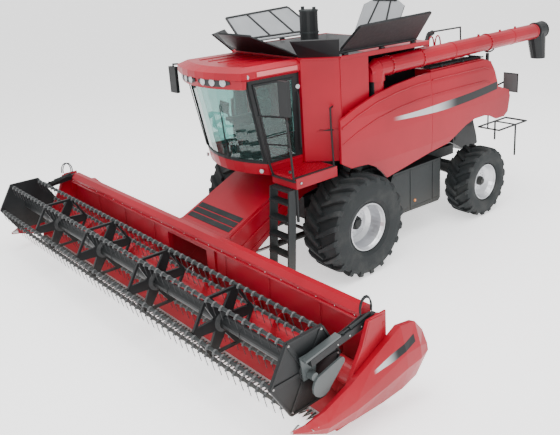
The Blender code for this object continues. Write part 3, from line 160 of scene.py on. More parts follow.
def painted(name, colour, deep, rough, dust=0.12, dusty_to=1.2, grain=90.0, relief=0.05, **sockets):
    """Sprayed steel: faint clouds in the tone, and dust towards the ground."""
    f = Finish(name, **sockets)
    clouds, specks = f.noise(0.9, 3.0), f.noise(14.0, 8.0, 0.7)
    tone = f.mix(f.span(clouds, 0.30, 0.72, 0.0, 0.75), colour, deep)
    low = f.span(f.z, 0.1, dusty_to, 1.0, 0.0)
    amount = f.calc("MULTIPLY_ADD", low, dust, dust * 0.04)
    veil = f.calc("MULTIPLY", amount, f.span(specks, 0.25, 0.75, 0.35, 1.0))
    f.base = f.mix(veil, tone, DUST)
    f.set("Base Color", f.base)
    sheen = f.span(specks, 0.2, 0.8, rough - 0.04, rough + 0.08)
    f.set("Roughness", f.calc("ADD", sheen, f.calc("MULTIPLY", veil, 0.5)))
    f.relief(f.noise(grain, 2.0), relief, 0.002)
    return f


def red(name, **more):
    lacquer = {"Coat_Weight": 0.10, "Coat_Roughness": 0.12, "Specular_IOR_Level": 0.22}
    return painted(name, RED, DEEP_RED, 0.34, **lacquer, **more)


def stripe(f, slope_y, centre, half, start, fade, stop, bow=0.0):
    """Silver stripe that darkens to black: z = centre + slope * (y - start) + bow * square."""
    y = f.calc("SUBTRACT", f.y, AXLE_Y)
    run = f.calc("SUBTRACT", y, start)
    line = f.calc("MULTIPLY_ADD", run, slope_y, centre)
    line = f.calc("MULTIPLY_ADD", f.calc("MULTIPLY", run, run), bow, line)
    offset = f.calc("ABSOLUTE", f.calc("SUBTRACT", f.z, line))
    width = f.span(y, start, start + 0.55 * (stop - start), half * 0.45, half)
    inside = f.calc("MULTIPLY_ADD", f.calc("SUBTRACT", width, offset), 250.0, 0.5, clamp=True)
    begun = f.span(y, start, start + 0.12 * (stop - start))
    mask = f.both(inside, begun, f.span(y, stop, stop + 0.01, 1.0, 0.0))
    ink = f.mix(f.span(y, fade[0], fade[1]), LIGHT_GREY, INK)
    f.set("Base Color", f.mix(mask, f.base, ink))


def side_panel_finish():
    f = red("red_side_panels")
    stripe(f, -0.055, 2.655, 0.082, 0.95, (2.2, 2.95), 4.34, bow=0.0245)
    return f.material


def divider_finish():
    f = red("red_dividers", dusty_to=0.8)
    stripe(f, 0.22, 0.70, 0.050, -2.88, (-2.72, -2.45), -2.14)
    return f.material


def tank_finish():
    """Red outside; black niche and front skirts, bare galvanised steel inside."""
    f = red("red_grain_tank")
    y = f.calc("SUBTRACT", f.y, AXLE_Y)
    side = f.calc("ABSOLUTE", f.x)
    niche = f.both(f.band(f.x, 1.03, 1.387), f.span(y, 0.51, 0.515), f.band(f.z, 3.0, 3.845))
    skirts = f.span(f.z, 3.925, 3.93)
    ahead = f.span(y, 0.0, 0.01, 1.0, 0.0)
    slots = f.both(f.band(side, 1.13, 1.30, 0.001), f.band(f.z, 2.66, 2.69, 0.002), ahead)
    inside = f.both(f.span(side, 1.37, 1.38, 1.0, 0.0), f.band(y, -0.615, 2.175), f.span(f.z, 2.3, 2.31),
                    f.span(f.z, 3.915, 3.919, 1.0, 0.0), f.band(f.calc("SUBTRACT", side, y), -9.0, 1.545))
    steel = f.mix(f.noise(5.0, 6.0), (0.13, 0.135, 0.14), (0.22, 0.22, 0.22))
    colour = f.mix(inside, f.base, steel)
    for mask in (niche, skirts, slots):
        colour = f.mix(mask, colour, INK)
    f.set("Base Color", colour)
    return f.material


def cover_finish(name, direction):
    """Tank cover: black outside and pale grey on the face towards the tank."""
    f = painted(name, INK, (0.007, 0.008, 0.009), 0.45, Specular_IOR_Level=0.25)
    pale = f.mix(f.noise(2.0, 4.0), (0.20, 0.21, 0.22), (0.30, 0.31, 0.32))
    f.set("Base Color", f.mix(f.facing(direction), f.base, pale))
    return f.material


def rubber(name, dust):
    f = Finish(name, Specular_IOR_Level=0.35)
    grain, patches = f.noise(60.0, 8.0, 0.7), f.noise(3.0, 5.0)
    tone = f.mix(grain, (0.005, 0.007, 0.008), (0.016, 0.020, 0.021))
    f.set("Base Color", f.mix(f.span(patches, 0.42, 0.75, 0.0, dust), tone, (0.07, 0.07, 0.065)))
    f.set("Roughness", f.span(grain, 0.2, 0.8, 0.62, 0.88))
    f.relief(grain, 0.35, 0.003)
    return f.material


def metal(name, colour, deep, rough, streaks=(3.0, 60.0)):
    """Bare or silvered metal with fine drawn streaks."""
    f = Finish(name, Metallic=0.85)
    broad, fine = f.noise(streaks[0], 4.0), f.noise(streaks[1], 3.0)
    f.set("Base Color", f.mix(f.span(broad, 0.3, 0.7), colour, deep))
    f.set("Roughness", f.span(fine, 0.3, 0.7, rough - 0.06, rough + 0.10))
    f.relief(fine, 0.08, 0.002)
    return f.material


def glass(name, colour, clear):
    f = Finish(name, Transmission_Weight=clear, IOR=1.45)
    smears = f.noise(4.0, 5.0)
    f.set("Base Color", f.mix(smears, colour, tuple(0.86 * c for c in colour)))
    f.set("Roughness", f.span(smears, 0.45, 0.8, 0.01, 0.07))
    return f.material


def lens(name, colour, glow):
    """Ribbed lamp glass."""
    f = Finish(name, Transmission_Weight=0.35, Emission_Strength=glow, Emission_Color=(*colour, 1.0))
    wave = f.add("ShaderNodeTexWave", {"bands_direction": "X"}, f.place, 42.0, 0.0)
    f.set("Base Color", f.mix(f.noise(30.0), colour, tuple(0.7 * c for c in colour)))
    f.set("Roughness", f.span(f.noise(20.0), 0.3, 0.7, 0.06, 0.14))
    f.relief(wave.outputs["Fac"], 0.35, 0.003)
    return f.material


def cloth(name, colour):
    """Woven upholstery with a soft sheen."""
    f = Finish(name, Sheen_Weight=0.4, Specular_IOR_Level=0.2)
    threads = []
    for direction in ("X", "Z"):
        wave = f.add("ShaderNodeTexWave", {"bands_direction": direction}, f.place, 150.0, 0.6)
        threads.append(wave.outputs["Fac"])
    weave = f.calc("MULTIPLY", threads[0], threads[1])
    f.set("Base Color", f.mix(weave, colour, tuple(1.9 * c for c in colour)))
    f.set("Roughness", f.span(f.noise(8.0), 0.3, 0.7, 0.78, 0.92))
    f.relief(weave, 0.5, 0.002)
    return f.material


def plastic(name, colour, rough=0.55):
    """Moulded plastic with a fine leather grain."""
    f = Finish(name)
    cells = f.add("ShaderNodeTexVoronoi", {}, f.place, None, 320.0).outputs["Distance"]
    f.set("Base Color", f.mix(f.noise(6.0), colour, tuple(1.5 * c for c in colour)))
    f.set("Roughness", f.span(f.noise(25.0), 0.3, 0.7, rough - 0.05, rough + 0.08))
    f.relief(cells, 0.25, 0.001)
    return f.material


BLACK_STEEL = painted("black_steel", INK, (0.010, 0.012, 0.013), 0.42, Specular_IOR_Level=0.3).material
DARK_GREY = painted(
    "dark_grey", (0.013, 0.017, 0.018), (0.007, 0.009, 0.010), 0.5, dust=0.2, Specular_IOR_Level=0.3
).material
RED_PAINT = red("red_paint").material
GUARD_RED = red("red_header").material
SILVER = metal("silver_rim", (0.62, 0.63, 0.65), (0.50, 0.51, 0.53), 0.34)
PALE_RED = painted("pale_red_strip", (0.55, 0.10, 0.11), (0.45, 0.06, 0.07), 0.3, Coat_Weight=0.4).material
STEEL = metal("bare_steel", (0.55, 0.55, 0.54), (0.36, 0.35, 0.34), 0.32)
TREAD = rubber("tyre_rubber", 0.30)
HOSE = rubber("hose_rubber", 0.15)
GLASS = glass("cab_glass", (0.34, 0.57, 0.54), 0.97)
CLOTH = cloth("seat_fabric", (0.035, 0.037, 0.040))
DARK_PLASTIC = plastic("dark_plastic", (0.009, 0.010, 0.011))
GREY_PLASTIC = plastic("grey_plastic", (0.06, 0.062, 0.063))
WHITE_LENS = lens("white_lens", (0.62, 0.66, 0.68), 0.06)
AMBER_LENS = lens("amber_lens", (0.85, 0.26, 0.02), 0.08)
RED_LENS = lens("red_lens", (0.60, 0.02, 0.02), 0.08)

SLOT_MATERIAL = {
    "red_paint": RED_PAINT, "black_steel": BLACK_STEEL, "dark_grey": DARK_GREY, "silver_rim": SILVER,
    "tyre_rubber": TREAD, "cab_glass": GLASS, "seat_fabric": DARK_PLASTIC, "bare_steel": STEEL,
}


def dress_frame():
    """Every CAD node gets its slot's finish, or one of its own where it has two colours."""
    shield = painted("drive_shield_grey", (0.055, 0.065, 0.066), (0.040, 0.048, 0.050), 0.4).material
    own = {"grain_tank": tank_finish(), "reel_carrier_left": shield}
    own["header_frame"] = own["intake_auger"] = GUARD_RED
    panels, dividers = side_panel_finish(), divider_finish()
    inwards = {"left": (-0.67, 0, 0.74), "right": (0.67, 0, 0.74), "front": (0, 0.5, 0.87)}
    inwards["rear"] = (0, -0.87, 0.5)
    for where, direction in inwards.items():
        own[f"tank_cover_{where}"] = cover_finish(f"cover_{where}", direction)
    for row in frame["record"]["subparts"]:
        node, mesh = row["node"], frame["nodes"][row["node"]].data
        material = own.get(node, SLOT_MATERIAL[row["material_slot"]])
        if node.startswith("side_panel"):
            material = panels
        elif node.startswith("divider"):
            material = dividers
        mesh.materials.clear()
        mesh.materials.append(material)


# ------------------------------------------------------------------ mesh helpers
def round_angles(count, first=0.0):
    """Equal steps of a full turn."""
    return [first + 2 * math.pi * i / count for i in range(count)]


def across(axis):
    """Two unit vectors square to the axis."""
    axis = axis.normalized()
    u = axis.cross(Z) if abs(axis.z) < 0.9 else axis.cross(X)
    u.normalize()
    return u, axis.cross(u).normalized()


class Shape:
    """Collects closed solids of one piece."""

    def __init__(self):
        self.bm = bmesh.new()

    def skin(self, rings, loop=False):
        """Joins rings of points with faces; the two ends are capped unless the rings form a loop."""
        rows = [[self.bm.verts.new(p) for p in ring] for ring in rings]
        pairs = list(zip(rows, rows[1:]))
        if loop:
            pairs.append((rows[-1], rows[0]))
        for a, b in pairs:
            for i in range(len(a)):
                j = (i + 1) % len(a)
                self.bm.faces.new((a[i], a[j], b[j], b[i]))
        if not loop:
            self.bm.faces.new(list(reversed(rows[0])))
            self.bm.faces.new(rows[-1])

    def beam(self, start, end, width, height, up=Z, taper=1.0):
        """Bar of a rectangular section from start to end."""
        along = (end - start).normalized()
        side = along.cross(up).normalized() * width / 2
        lift = side.cross(along).normalized() * height / 2
        corners = ((1, 1), (-1, 1), (-1, -1), (1, -1))
        self.skin([[start + side * a + lift * b for a, b in corners],
                   [end + (side * a + lift * b) * taper for a, b in corners]])

    def rod(self, start, end, radius, sides=12, end_radius=None):
        u, v = across(end - start)
        tip = radius if end_radius is None else end_radius
        turns = round_angles(sides)
        self.skin([[p + (u * math.cos(a) + v * math.sin(a)) * r for a in turns]
                   for p, r in ((start, radius), (end, tip))])

    def pipe(self, points, radius, sides=8):
        """Round bar along a chain of points, mitred at its corners."""
        rings = []
        for i, p in enumerate(points):
            before = (p - points[i - 1]).normalized() if i else (points[1] - p).normalized()
            after = (points[i + 1] - p).normalized() if i < len(points) - 1 else before
            along = (before + after).normalized()
            u, v = across(along)
            stretch = 1 / max(0.5, before.dot(along))
            widen = stretch ** 0.5
            turns = round_angles(sides)
            rings.append([p + (u * math.cos(a) + v * math.sin(a)) * radius * widen for a in turns])
        self.skin(rings)

    def turned(self, profile, centre, axis=X, sides=32):
        """Closed (along, radius) outline turned about an axis through centre."""
        u, v = across(axis)
        rings = []
        for a in round_angles(sides):
            out = u * math.cos(a) + v * math.sin(a)
            rings.append([centre + axis * d + out * r for d, r in profile])
        self.skin(rings, loop=True)

    def hoop(self, half_width, inner, outer, centre, axis=X, sides=24):
        """Flat ring about an axis."""
        profile = [(-half_width, inner), (-half_width, outer), (half_width, outer), (half_width, inner)]
        self.turned(profile, centre, axis, sides)

    def sheet(self, outline, thickness):
        """Flat plate: outline points and a thickness vector."""
        self.skin([outline, [p + thickness for p in outline]])

    def bolts(self, centres, normal, size):
        """Hexagon heads with a washer."""
        for c in centres:
            self.rod(c, c + normal * size * 0.25, size * 0.95, 12)
            self.rod(c + normal * size * 0.2, c + normal * size * 0.9, size * 0.6, 6)

    def done(self, name, material, body, slot, bevel=0.0, sharp=35.0):
        """Turns the collected solids into a piece that rides on a body."""
        bmesh.ops.recalc_face_normals(self.bm, faces=self.bm.faces)
        mesh = bpy.data.meshes.new(name)
        self.bm.to_mesh(mesh)
        self.bm.free()
        obj = bpy.data.objects.new(name, mesh)
        bpy.context.scene.collection.objects.link(obj)
        mesh.materials.append(material)
        mesh.shade_smooth()
        mesh.set_sharp_from_angle(angle=math.radians(sharp))
        if bevel:
            modifier = obj.modifiers.new("edges", "BEVEL")
            modifier.width = bevel
            modifier.segments = 2
            modifier.limit_method = "ANGLE"
        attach(obj, body)
        return obj


def ring_of(centre, axis, radius, count, turn=0.0):
    u, v = across(axis)
    return [centre + (u * math.cos(a) + v * math.sin(a)) * radius for a in round_angles(count, turn)]


def steps(low, high, count):
    return [low + (high - low) * i / (count - 1) for i in range(count)]


# ------------------------------------------------------------------ wheels
LUG_LIFT = {"front": 0.068, "rear": 0.056}
LUGS = {"front": 20, "rear": 18}
DISC_X = {"front": 0.02, "rear": 0.10}


def tyre(where, side):
    """Carcass with chevron lugs whose points meet the ground first."""
    node = f"tyre_{where}_{side}"
    low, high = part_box(node)
    radius, w = (high[2] - low[2]) / 2, (high[0] - low[0]) / 2
    centre = Vector([(a + b) / 2 for a, b in zip(low, high)])
    rim_low, rim_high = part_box(f"rim_{where}_{side}")
    flange = (rim_high[2] - rim_low[2]) / 2
    seat, crown = w - 0.0705, radius - LUG_LIFT[where]
    half = [(seat, flange - 0.026), (seat, flange + 0.012), (w * 0.92, flange + 0.040),
            (w * 0.965, flange + 0.085),
            (w * 0.975, flange + 0.090), (w * 0.990, (flange + radius) / 2), (w * 0.975, radius * 0.86),
            (w * 0.93, radius * 0.915), (w * 0.82, crown - 0.012), (w * 0.45, crown - 0.002)]
    shape = Shape()
    shape.turned(half + [(-x, r) for x, r in reversed(half)], centre, X, 64)
    stations = [
        (-0.02, radius, 0.0, crown - 0.03), (w * 0.30, radius, 0.30, crown - 0.03),
        (w * 0.62, radius - 0.002, 0.62, crown - 0.035), (w * 0.86, radius - 0.008, 0.84, radius * 0.90),
        (w * 0.965, radius - 0.035, 0.94, radius * 0.87), (w * 1.0, radius * 0.885, 1.0, radius * 0.845)
    ]
    pitch = 2 * math.pi / LUGS[where]
    sweep = 0.92 * pitch
    for k in range(LUGS[where]):
        for hand in (1, -1):
            base_turn = (k + (0.5 if hand < 0 else 0.0)) * pitch
            rings = []
            for x, top, share, root in stations:
                a = base_turn - sweep * share
                wide = (0.032 + 0.016 * share) / radius
                ring = []
                for r, reach, spread in ((root, 0.97 if share > 0.8 else 1.0, 1.35), (top, 1.0, 1.0)):
                    signs = (-1, 1) if r == root else (1, -1)
                    for sign in signs:
                        b = a + sign * wide * spread
                        ring.append(centre + Vector((hand * x * reach, -r * math.cos(b), -r * math.sin(b))))
                rings.append(ring)
            shape.skin(rings)
    body = f"{where}_wheel_{side}"
    obj = shape.done(f"tread_{where}_{side}", TREAD, body, "tyre_rubber")
    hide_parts(node)


def wheel_trim(where, side, s):
    """Hub, wheel bolts, disc swage and valve on the outside of a rim."""
    low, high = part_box(f"rim_{where}_{side}")
    centre = Vector([(a + b) / 2 for a, b in zip(low, high)])
    face = centre + X * s * DISC_X[where]
    out = X * s
    small = 0.8 if where == "rear" else 1.0
    hub = Shape()
    hub.turned([(0.0, 0.0), (0.0, 0.125 * small), (0.045, 0.120 * small), (0.055, 0.085 * small),
                (0.085, 0.080 * small), (0.092, 0.065 * small), (0.092, 0.0)], face, out)
    hub.bolts(ring_of(face + out * 0.055, out, 0.102 * small, 8, 0.2), out, 0.012)
    body = f"{where}_wheel_{side}"
    hub.done(f"hub_{where}_{side}", DARK_GREY, body, "dark_grey")
    trim = Shape()
    trim.bolts(ring_of(face, out, 0.185 * small, 10), out, 0.020)
    swage = 0.245 * small
    trim.turned([(-0.004, swage - 0.016), (0.006, swage - 0.010), (0.009, swage), (0.006, swage + 0.010),
                 (-0.004, swage + 0.016)], face, out, 48)
    flange = (high[2] - low[2]) / 2
    edge = (high[0] - low[0]) / 2
    trim.turned(
        [(-0.004, flange - 0.020), (0.005, flange - 0.016), (0.008, flange - 0.006), (0.004, flange),
        (-0.008, flange + 0.001)], centre + out * edge, out, 64
    )
    valve = face + Vector((s * 0.06, 0.0, 0.31 * small))
    trim.rod(valve, valve + out * 0.05, 0.006, 8)
    trim.done(f"rim_trim_{where}_{side}", SILVER, body, "silver_rim")


# ------------------------------------------------------------------ header
KNIFE_Y = -3.40
GUARD_PITCH = 0.0762


def cutter_bar():
    """Knife guards, knife sections and the wear strip along the front edge."""
    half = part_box("header_frame")[1][0] - 0.06
    guards, knife = Shape(), Shape()
    count = int(2 * half / GUARD_PITCH)
    for i in range(count):
        x = -half + (i + 0.5) * 2 * half / count
        rings = []
        for y, wide, top, low in ((0.05, 0.017, 0.142, 0.128), (-0.01, 0.015, 0.150, 0.100),
                                  (-0.07, 0.009, 0.138, 0.108), (-0.125, 0.002, 0.124, 0.118)):
            rings.append([at(x - wide, KNIFE_Y + y, low), at(x + wide, KNIFE_Y + y, low),
                          at(x + wide * 0.6, KNIFE_Y + y, top), at(x - wide * 0.6, KNIFE_Y + y, top)])
        guards.skin(rings)
        blade = [at(x - 0.036, KNIFE_Y + 0.03, 0.128), at(x + 0.036, KNIFE_Y + 0.03, 0.128),
                 at(x + 0.006, KNIFE_Y - 0.055, 0.128), at(x - 0.006, KNIFE_Y - 0.055, 0.128)]
        knife.sheet(blade, Z * 0.004)
    knife.beam(at(-half, KNIFE_Y + 0.045, 0.138), at(half, KNIFE_Y + 0.045, 0.138), 0.035, 0.012)
    guards.done("knife_guards", DARK_GREY, "feeder", "dark_grey")
    knife.done("knife", STEEL, "feeder", "bare_steel")


def header_trim():
    """Seams and straps on the back sheet, hold-down bolts, skids and end-sheet stiffeners."""
    straps, bolts = Shape(), Shape()
    face_y = -2.560
    for x in (-3.3, -2.2, -1.1, 1.1, 2.2, 3.3):
        straps.beam(at(x, face_y, 0.55), at(x, face_y, 1.16), 0.006, 0.012, Y)
    for x in steps(-4.1, 4.1, 24):
        bolts.bolts([at(x, -2.705, 1.24)], -Y, 0.010)
    straps.beam(at(-4.17, -2.712, 1.205), at(4.17, -2.712, 1.205), 0.02, 0.03)
    for s in (1, -1):
        straps.beam(at(s * 4.172, -2.60, 1.18), at(s * 4.172, -2.60, 1.34), 0.16, 0.012, X)
        outline = [(-2.56, 1.30), (-2.80, 1.31), (-2.92, 1.02), (-3.12, 0.70), (-3.38, 0.25)]
        for a, b in zip(outline, outline[1:]):
            straps.beam(at(s * 4.405, *a), at(s * 4.405, *b), 0.055, 0.022)
        for x in (s * 1.5, s * 3.2):
            rings = []
            for y, z in ((-3.30, 0.098), (-3.20, 0.040), (-2.75, 0.030), (-2.60, 0.098)):
                rings.append([at(x - 0.12, y, z), at(x + 0.12, y, z), at(x + 0.12, y, z + 0.012),
                              at(x - 0.12, y, z + 0.012)])
            straps.skin(rings)
    mouth = Shape()
    for z in (0.62, 1.07):
        mouth.beam(at(-0.72, face_y - 0.004, z), at(0.72, face_y - 0.004, z), 0.012, 0.05, Z)
    for x in (-0.70, 0.70):
        mouth.beam(at(x, face_y - 0.004, 0.60), at(x, face_y - 0.004, 1.09), 0.012, 0.05, X)
    mouth.done("mouth_frame", BLACK_STEEL, "feeder", "black_steel")
    straps.done("header_straps", GUARD_RED, "feeder", "red_paint", bevel=0.002)
    bolts.done("header_bolts", STEEL, "feeder", "bare_steel")
    auger = Shape()
    y, z = middle("intake_auger", 1), middle("intake_auger", 2)
    for i, x in enumerate(steps(-0.84, 0.84, 15)):
        a = 2.4 * i
        out = Vector((0, math.cos(a), math.sin(a)))
        auger.rod(Vector((x, y, z)) + out * 0.12, Vector((x, y, z)) + out * 0.265, 0.008, 8)
    auger.done("auger_fingers", STEEL, "intake_auger", "bare_steel")


def divider_trim():
    """Nose cap, pins and the dark inner face of each divider."""
    for side, s in SIDES:
        dark, nose = Shape(), Shape()
        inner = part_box("divider_left")[0][0]
        x = s * 4.44
        outline = [at(x, -3.30, 0.33), at(x, -2.50, 0.35), at(x, -2.15, 0.60), at(x, -2.40, 0.86),
                   at(x, -3.00, 0.62)]
        dark.sheet(outline, X * s * -0.0085)
        for y in (-3.74, -3.82):
            nose.rod(at(s * (inner + 0.13), y, 0.40), at(s * (inner + 0.175), y, 0.40), 0.006, 8)
        rings = []
        for y, z, r in ((-4.022, 0.40, 0.012), (-3.95, 0.402, 0.030), (-3.90, 0.404, 0.040)):
            c = at(s * (inner + 0.02), y, z)
            rings.append([c + Vector((r * math.cos(t), 0, r * math.sin(t))) for t in round_angles(12)])
        nose.skin(rings)
        dark.done(f"divider_inner_{side}", BLACK_STEEL, "feeder", "black_steel")
        nose.done(f"divider_nose_{side}", STEEL, "feeder", "bare_steel")


# ------------------------------------------------------------------ reel
TINE_PITCH = 0.156


def tines():
    """Sprung tines on every bar: a grey clip on the bar and a wire that hangs from it."""
    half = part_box("tine_bar_1")[1][0] - 0.05
    count = int(2 * half / TINE_PITCH)
    for k in range(1, 7):
        node = f"tine_bar_{k}"
        y, z = middle(node, 1), middle(node, 2)
        wires, clips = Shape(), Shape()
        for i in range(count):
            x = -half + (i + 0.5) * 2 * half / count
            c = Vector((x, y, z))
            wires.pipe([c + Vector((0.0, -0.030, 0.0)), c + Vector((0.0, -0.032, -0.04)),
                        c + Vector((0.004, -0.024, -0.09)), c + Vector((0.008, -0.008, -0.16))], 0.0048, 5)
            clips.hoop(0.016, 0.0225, 0.032, c, X, 10)
            clips.beam(c + Vector((0.0, -0.026, 0.012)), c + Vector((0.0, -0.042, -0.020)), 0.026, 0.018)
        wires.done(f"tines_{k}", DARK_PLASTIC, node, "dark_grey")
        clips.done(f"tine_clips_{k}", GREY_PLASTIC, node, "dark_grey")


def reel_trim():
    """End-plate rims and ribs, spider hubs and collars, on the reel itself."""
    y, z = middle("reel", 1), middle("reel", 2)
    centre = Vector((0, y, z))
    plate_x = 4.22
    trim, bolts = Shape(), Shape()
    turns = [math.radians(60 * k) for k in range(6)]
    corners = [Vector((0, 0.535 * math.cos(t), 0.535 * math.sin(t))) for t in turns]
    for s in (1, -1):
        c = centre + X * s * plate_x
        for a, b in zip(corners, corners[1:] + corners[:1]):
            trim.beam(c + a + X * s * 0.010, c + b + X * s * 0.010, 0.024, 0.020, X)
        for a in corners:
            trim.beam(c + a * 0.22 + X * s * 0.006, c + a * 0.93 + X * s * 0.006, 0.05, 0.012, X)
        trim.turned([(0.0, 0.060), (0.0, 0.115), (0.018, 0.105), (0.024, 0.060)], c, X * s, 32)
        bolts.bolts(ring_of(c + X * s * 0.020, X * s, 0.085, 6), X * s, 0.009)
        bolts.bolts([c + a * 0.935 + X * s * 0.010 for a in corners], X * s, 0.014)
    for x in (-2.58, -0.86, 0.86, 2.58):
        c = centre + X * x
        for s in (1, -1):
            trim.turned([(0.019, 0.086), (0.019, 0.15), (0.027, 0.14), (0.055, 0.095), (0.055, 0.086)],
                        c, X * s, 24)
            bolts.bolts(ring_of(c + X * s * 0.024, X * s, 0.128, 6), X * s, 0.007)
    for x in steps(-3.9, 3.9, 10):
        trim.hoop(0.012, 0.0855, 0.090, centre + X * x)
    trim.done("reel_trim", BLACK_STEEL, "reel", "black_steel", bevel=0.0015)
    bolts.done("reel_bolts", STEEL, "reel", "bare_steel")


def reel_arm_trim():
    """Hydraulic cylinder, lines and pivot caps on the reel arms."""
    for side, s in SIDES:
        low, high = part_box(f"reel_arm_{side}")
        x = (low[0] + high[0]) / 2
        inner_x = s * 4.245
        cyl, lines, caps = Shape(), Shape(), Shape()
        start, end = at(x, -2.66, 1.335), at(x, -3.12, 1.262)
        cyl.rod(start, start.lerp(end, 0.72), 0.021, 16)
        cyl.rod(start.lerp(end, 0.70), start.lerp(end, 0.78), 0.025, 16)
        cyl.rod(start.lerp(end, 0.1), start.lerp(end, 1.0), 0.009, 12)
        cyl.beam(end + Vector((0, -0.02, 0.012)), end + Vector((0, 0.02, -0.035)), 0.03, 0.03, Y)
        for k, dz in enumerate((0.0, 0.022)):
            lines.pipe(
                [at(inner_x + s * 0.018, -2.64, 1.28 + dz), at(inner_x + s * 0.018, -2.78, 1.30 + dz),
                at(inner_x + s * 0.018, -2.95, 1.26 + dz), at(inner_x + s * 0.018, -3.14, 1.225 + dz),
                at(inner_x + s * 0.018, -3.24, 1.245 + dz * 0.5)], 0.0075, 6
            )
        pivot = at(s * 4.353, -2.60, 1.27)
        caps.turned([(0.0, 0.0), (0.0, 0.040), (0.006, 0.036), (0.008, 0.0)], pivot, X * s, 24)
        caps.bolts([pivot + Vector((s * 0.001, -0.25 - 0.2 * i, -0.03 - 0.03 * i)) for i in range(3)],
                   X * s, 0.010)
        for k in range(2):
            loop = [at(s * (4.30 + 0.03 * k), -2.72 - 0.02 * k + 0.10 * math.cos(t),
                       1.42 + 0.16 * math.sin(t))
                    for t in steps(-0.35, math.pi + 0.2, 10)]
            lines.pipe(loop, 0.011, 8)
        cyl.done(f"reel_slide_cylinder_{side}", DARK_GREY, "reel_arms", "black_steel")
        lines.done(f"reel_lines_{side}", HOSE, "reel_arms", "black_steel")
        caps.done(f"reel_arm_caps_{side}", STEEL, "reel_arms", "bare_steel")


# ------------------------------------------------------------------ feeder
def feeder_trim():
    """Anti-slip strips across the top, side stiffeners and the conveyor's shaft ends."""
    strips, ribs, bolts = Shape(), Shape(), Shape()
    slope = (1.16 - 2.00) / (-2.20 + 0.36)
    normal = Vector((0, -slope, 1)).normalized()
    for y in (-2.09, -1.975, -1.86):
        z = 2.00 + slope * (y + 0.36)
        strips.beam(at(-0.62, y, z + 0.003), at(0.62, y, z + 0.003), 0.105, 0.008, normal)
    for s in (1, -1):
        x = s * 0.689
        for y0, z0, y1, z1 in (
                (-2.15, 0.75, -0.62, 1.56), (-2.15, 1.10, -0.62, 1.80), (-2.15, 0.50, -0.9, 1.22)
        ):
            ribs.beam(at(x, y0, z0), at(x, y1, z1), 0.03, 0.05)
        for y, z in ((-2.05, 0.72), (-0.75, 1.62)):
            ribs.rod(at(x - s * 0.01, y, z), at(x + s * 0.035, y, z), 0.085, 24)
            bolts.bolts(ring_of(at(x + s * 0.035, y, z), X * s, 0.055, 6), X * s, 0.009)
    strips.done("feeder_grip_strips", HOSE, "feeder", "black_steel")
    ribs.done("feeder_ribs", RED_PAINT, "feeder", "red_paint", bevel=0.003)
    bolts.done("feeder_bolts", STEEL, "feeder", "bare_steel")


# ------------------------------------------------------------------ cab
def lamp(shape, glass_shape, centre, normal, radius):
    """Lamp bowl with its own rim, and a domed lens."""
    shape.turned([(-0.03, 0.0), (-0.03, radius * 0.8), (0.0, radius * 1.08), (0.006, radius * 1.08),
                  (0.006, radius * 0.94), (0.001, radius * 0.9), (0.001, 0.0)], centre, normal, 24)
    glass_shape.turned(
        [(0.0015, 0.0), (0.0015, radius * 0.9), (0.006, radius * 0.86), (0.010, radius * 0.5),
        (0.0115, 0.0)], centre, normal, 24
    )


def visor_point(x, z=3.67):
    """Point on the roof visor's bowed front face."""
    share = x / 0.87
    return at(x, -1.822 - 0.245 * (1 - share * share), z)


def visor_normal(x):
    return Vector((0.56 * x / 0.87, -1.0, 0.0)).normalized()


def roof_trim():
    """Lamps and their bezels in the visor, roof ribs and side strips."""
    bezels, bowls, lenses, ribs, strips = Shape(), Shape(), Shape(), Shape(), Shape()
    for s in (1, -1):
        inner, outer = 0.05 * s, 0.70 * s
        count = 9
        rings = []
        for i, x in enumerate(steps(inner, outer, count)):
            ends = math.sin(math.pi * (i + 0.35) / (count - 0.3))
            tall = 0.070 * min(1.0, 1.5 * max(0.25, ends))
            face, out = visor_point(x), visor_normal(x)
            rings.append([face + Z * tall - out * 0.01, face + Z * tall * 0.85 + out * 0.010,
                          face - Z * tall * 0.85 + out * 0.010, face - Z * tall - out * 0.01])
        bezels.skin(rings)
        for x in (0.17 * s, 0.375 * s, 0.58 * s):
            lamp(bowls, lenses, visor_point(x) + visor_normal(x) * 0.012, visor_normal(x), 0.054)
        corner = at(s * 0.895, -1.70, 3.755)
        lamp(bowls, lenses, corner + Vector((s * 0.012, -0.03, 0)),
             Vector((s * 0.5, -1, 0)).normalized(), 0.036)
        strips.beam(at(s * 0.932, -1.55, 3.775), at(s * 0.932, -0.70, 3.775), 0.010, 0.075)
    for x in (-0.55, -0.28, 0.0, 0.28, 0.55):
        ribs.beam(at(x, -1.62, 3.904), at(x, -0.70, 3.904), 0.045, 0.012)
    for x, y in ((-0.42, -1.45), (0.42, -1.45), (-0.42, -0.95), (0.42, -0.95), (0.0, -1.25)):
        ribs.bolts([at(x, y, 3.897)], Z, 0.012)
    bezels.done("visor_bezels", DARK_PLASTIC, "machine", "black_steel")
    bowls.done("visor_lamp_bowls", SILVER, "machine", "silver_rim")
    lenses.done("visor_lamp_lenses", WHITE_LENS, "machine", "cab_glass")
    ribs.done("roof_ribs", RED_PAINT, "machine", "red_paint", bevel=0.004)
    strips.done("roof_side_strips", PALE_RED, "machine", "red_paint", bevel=0.003)


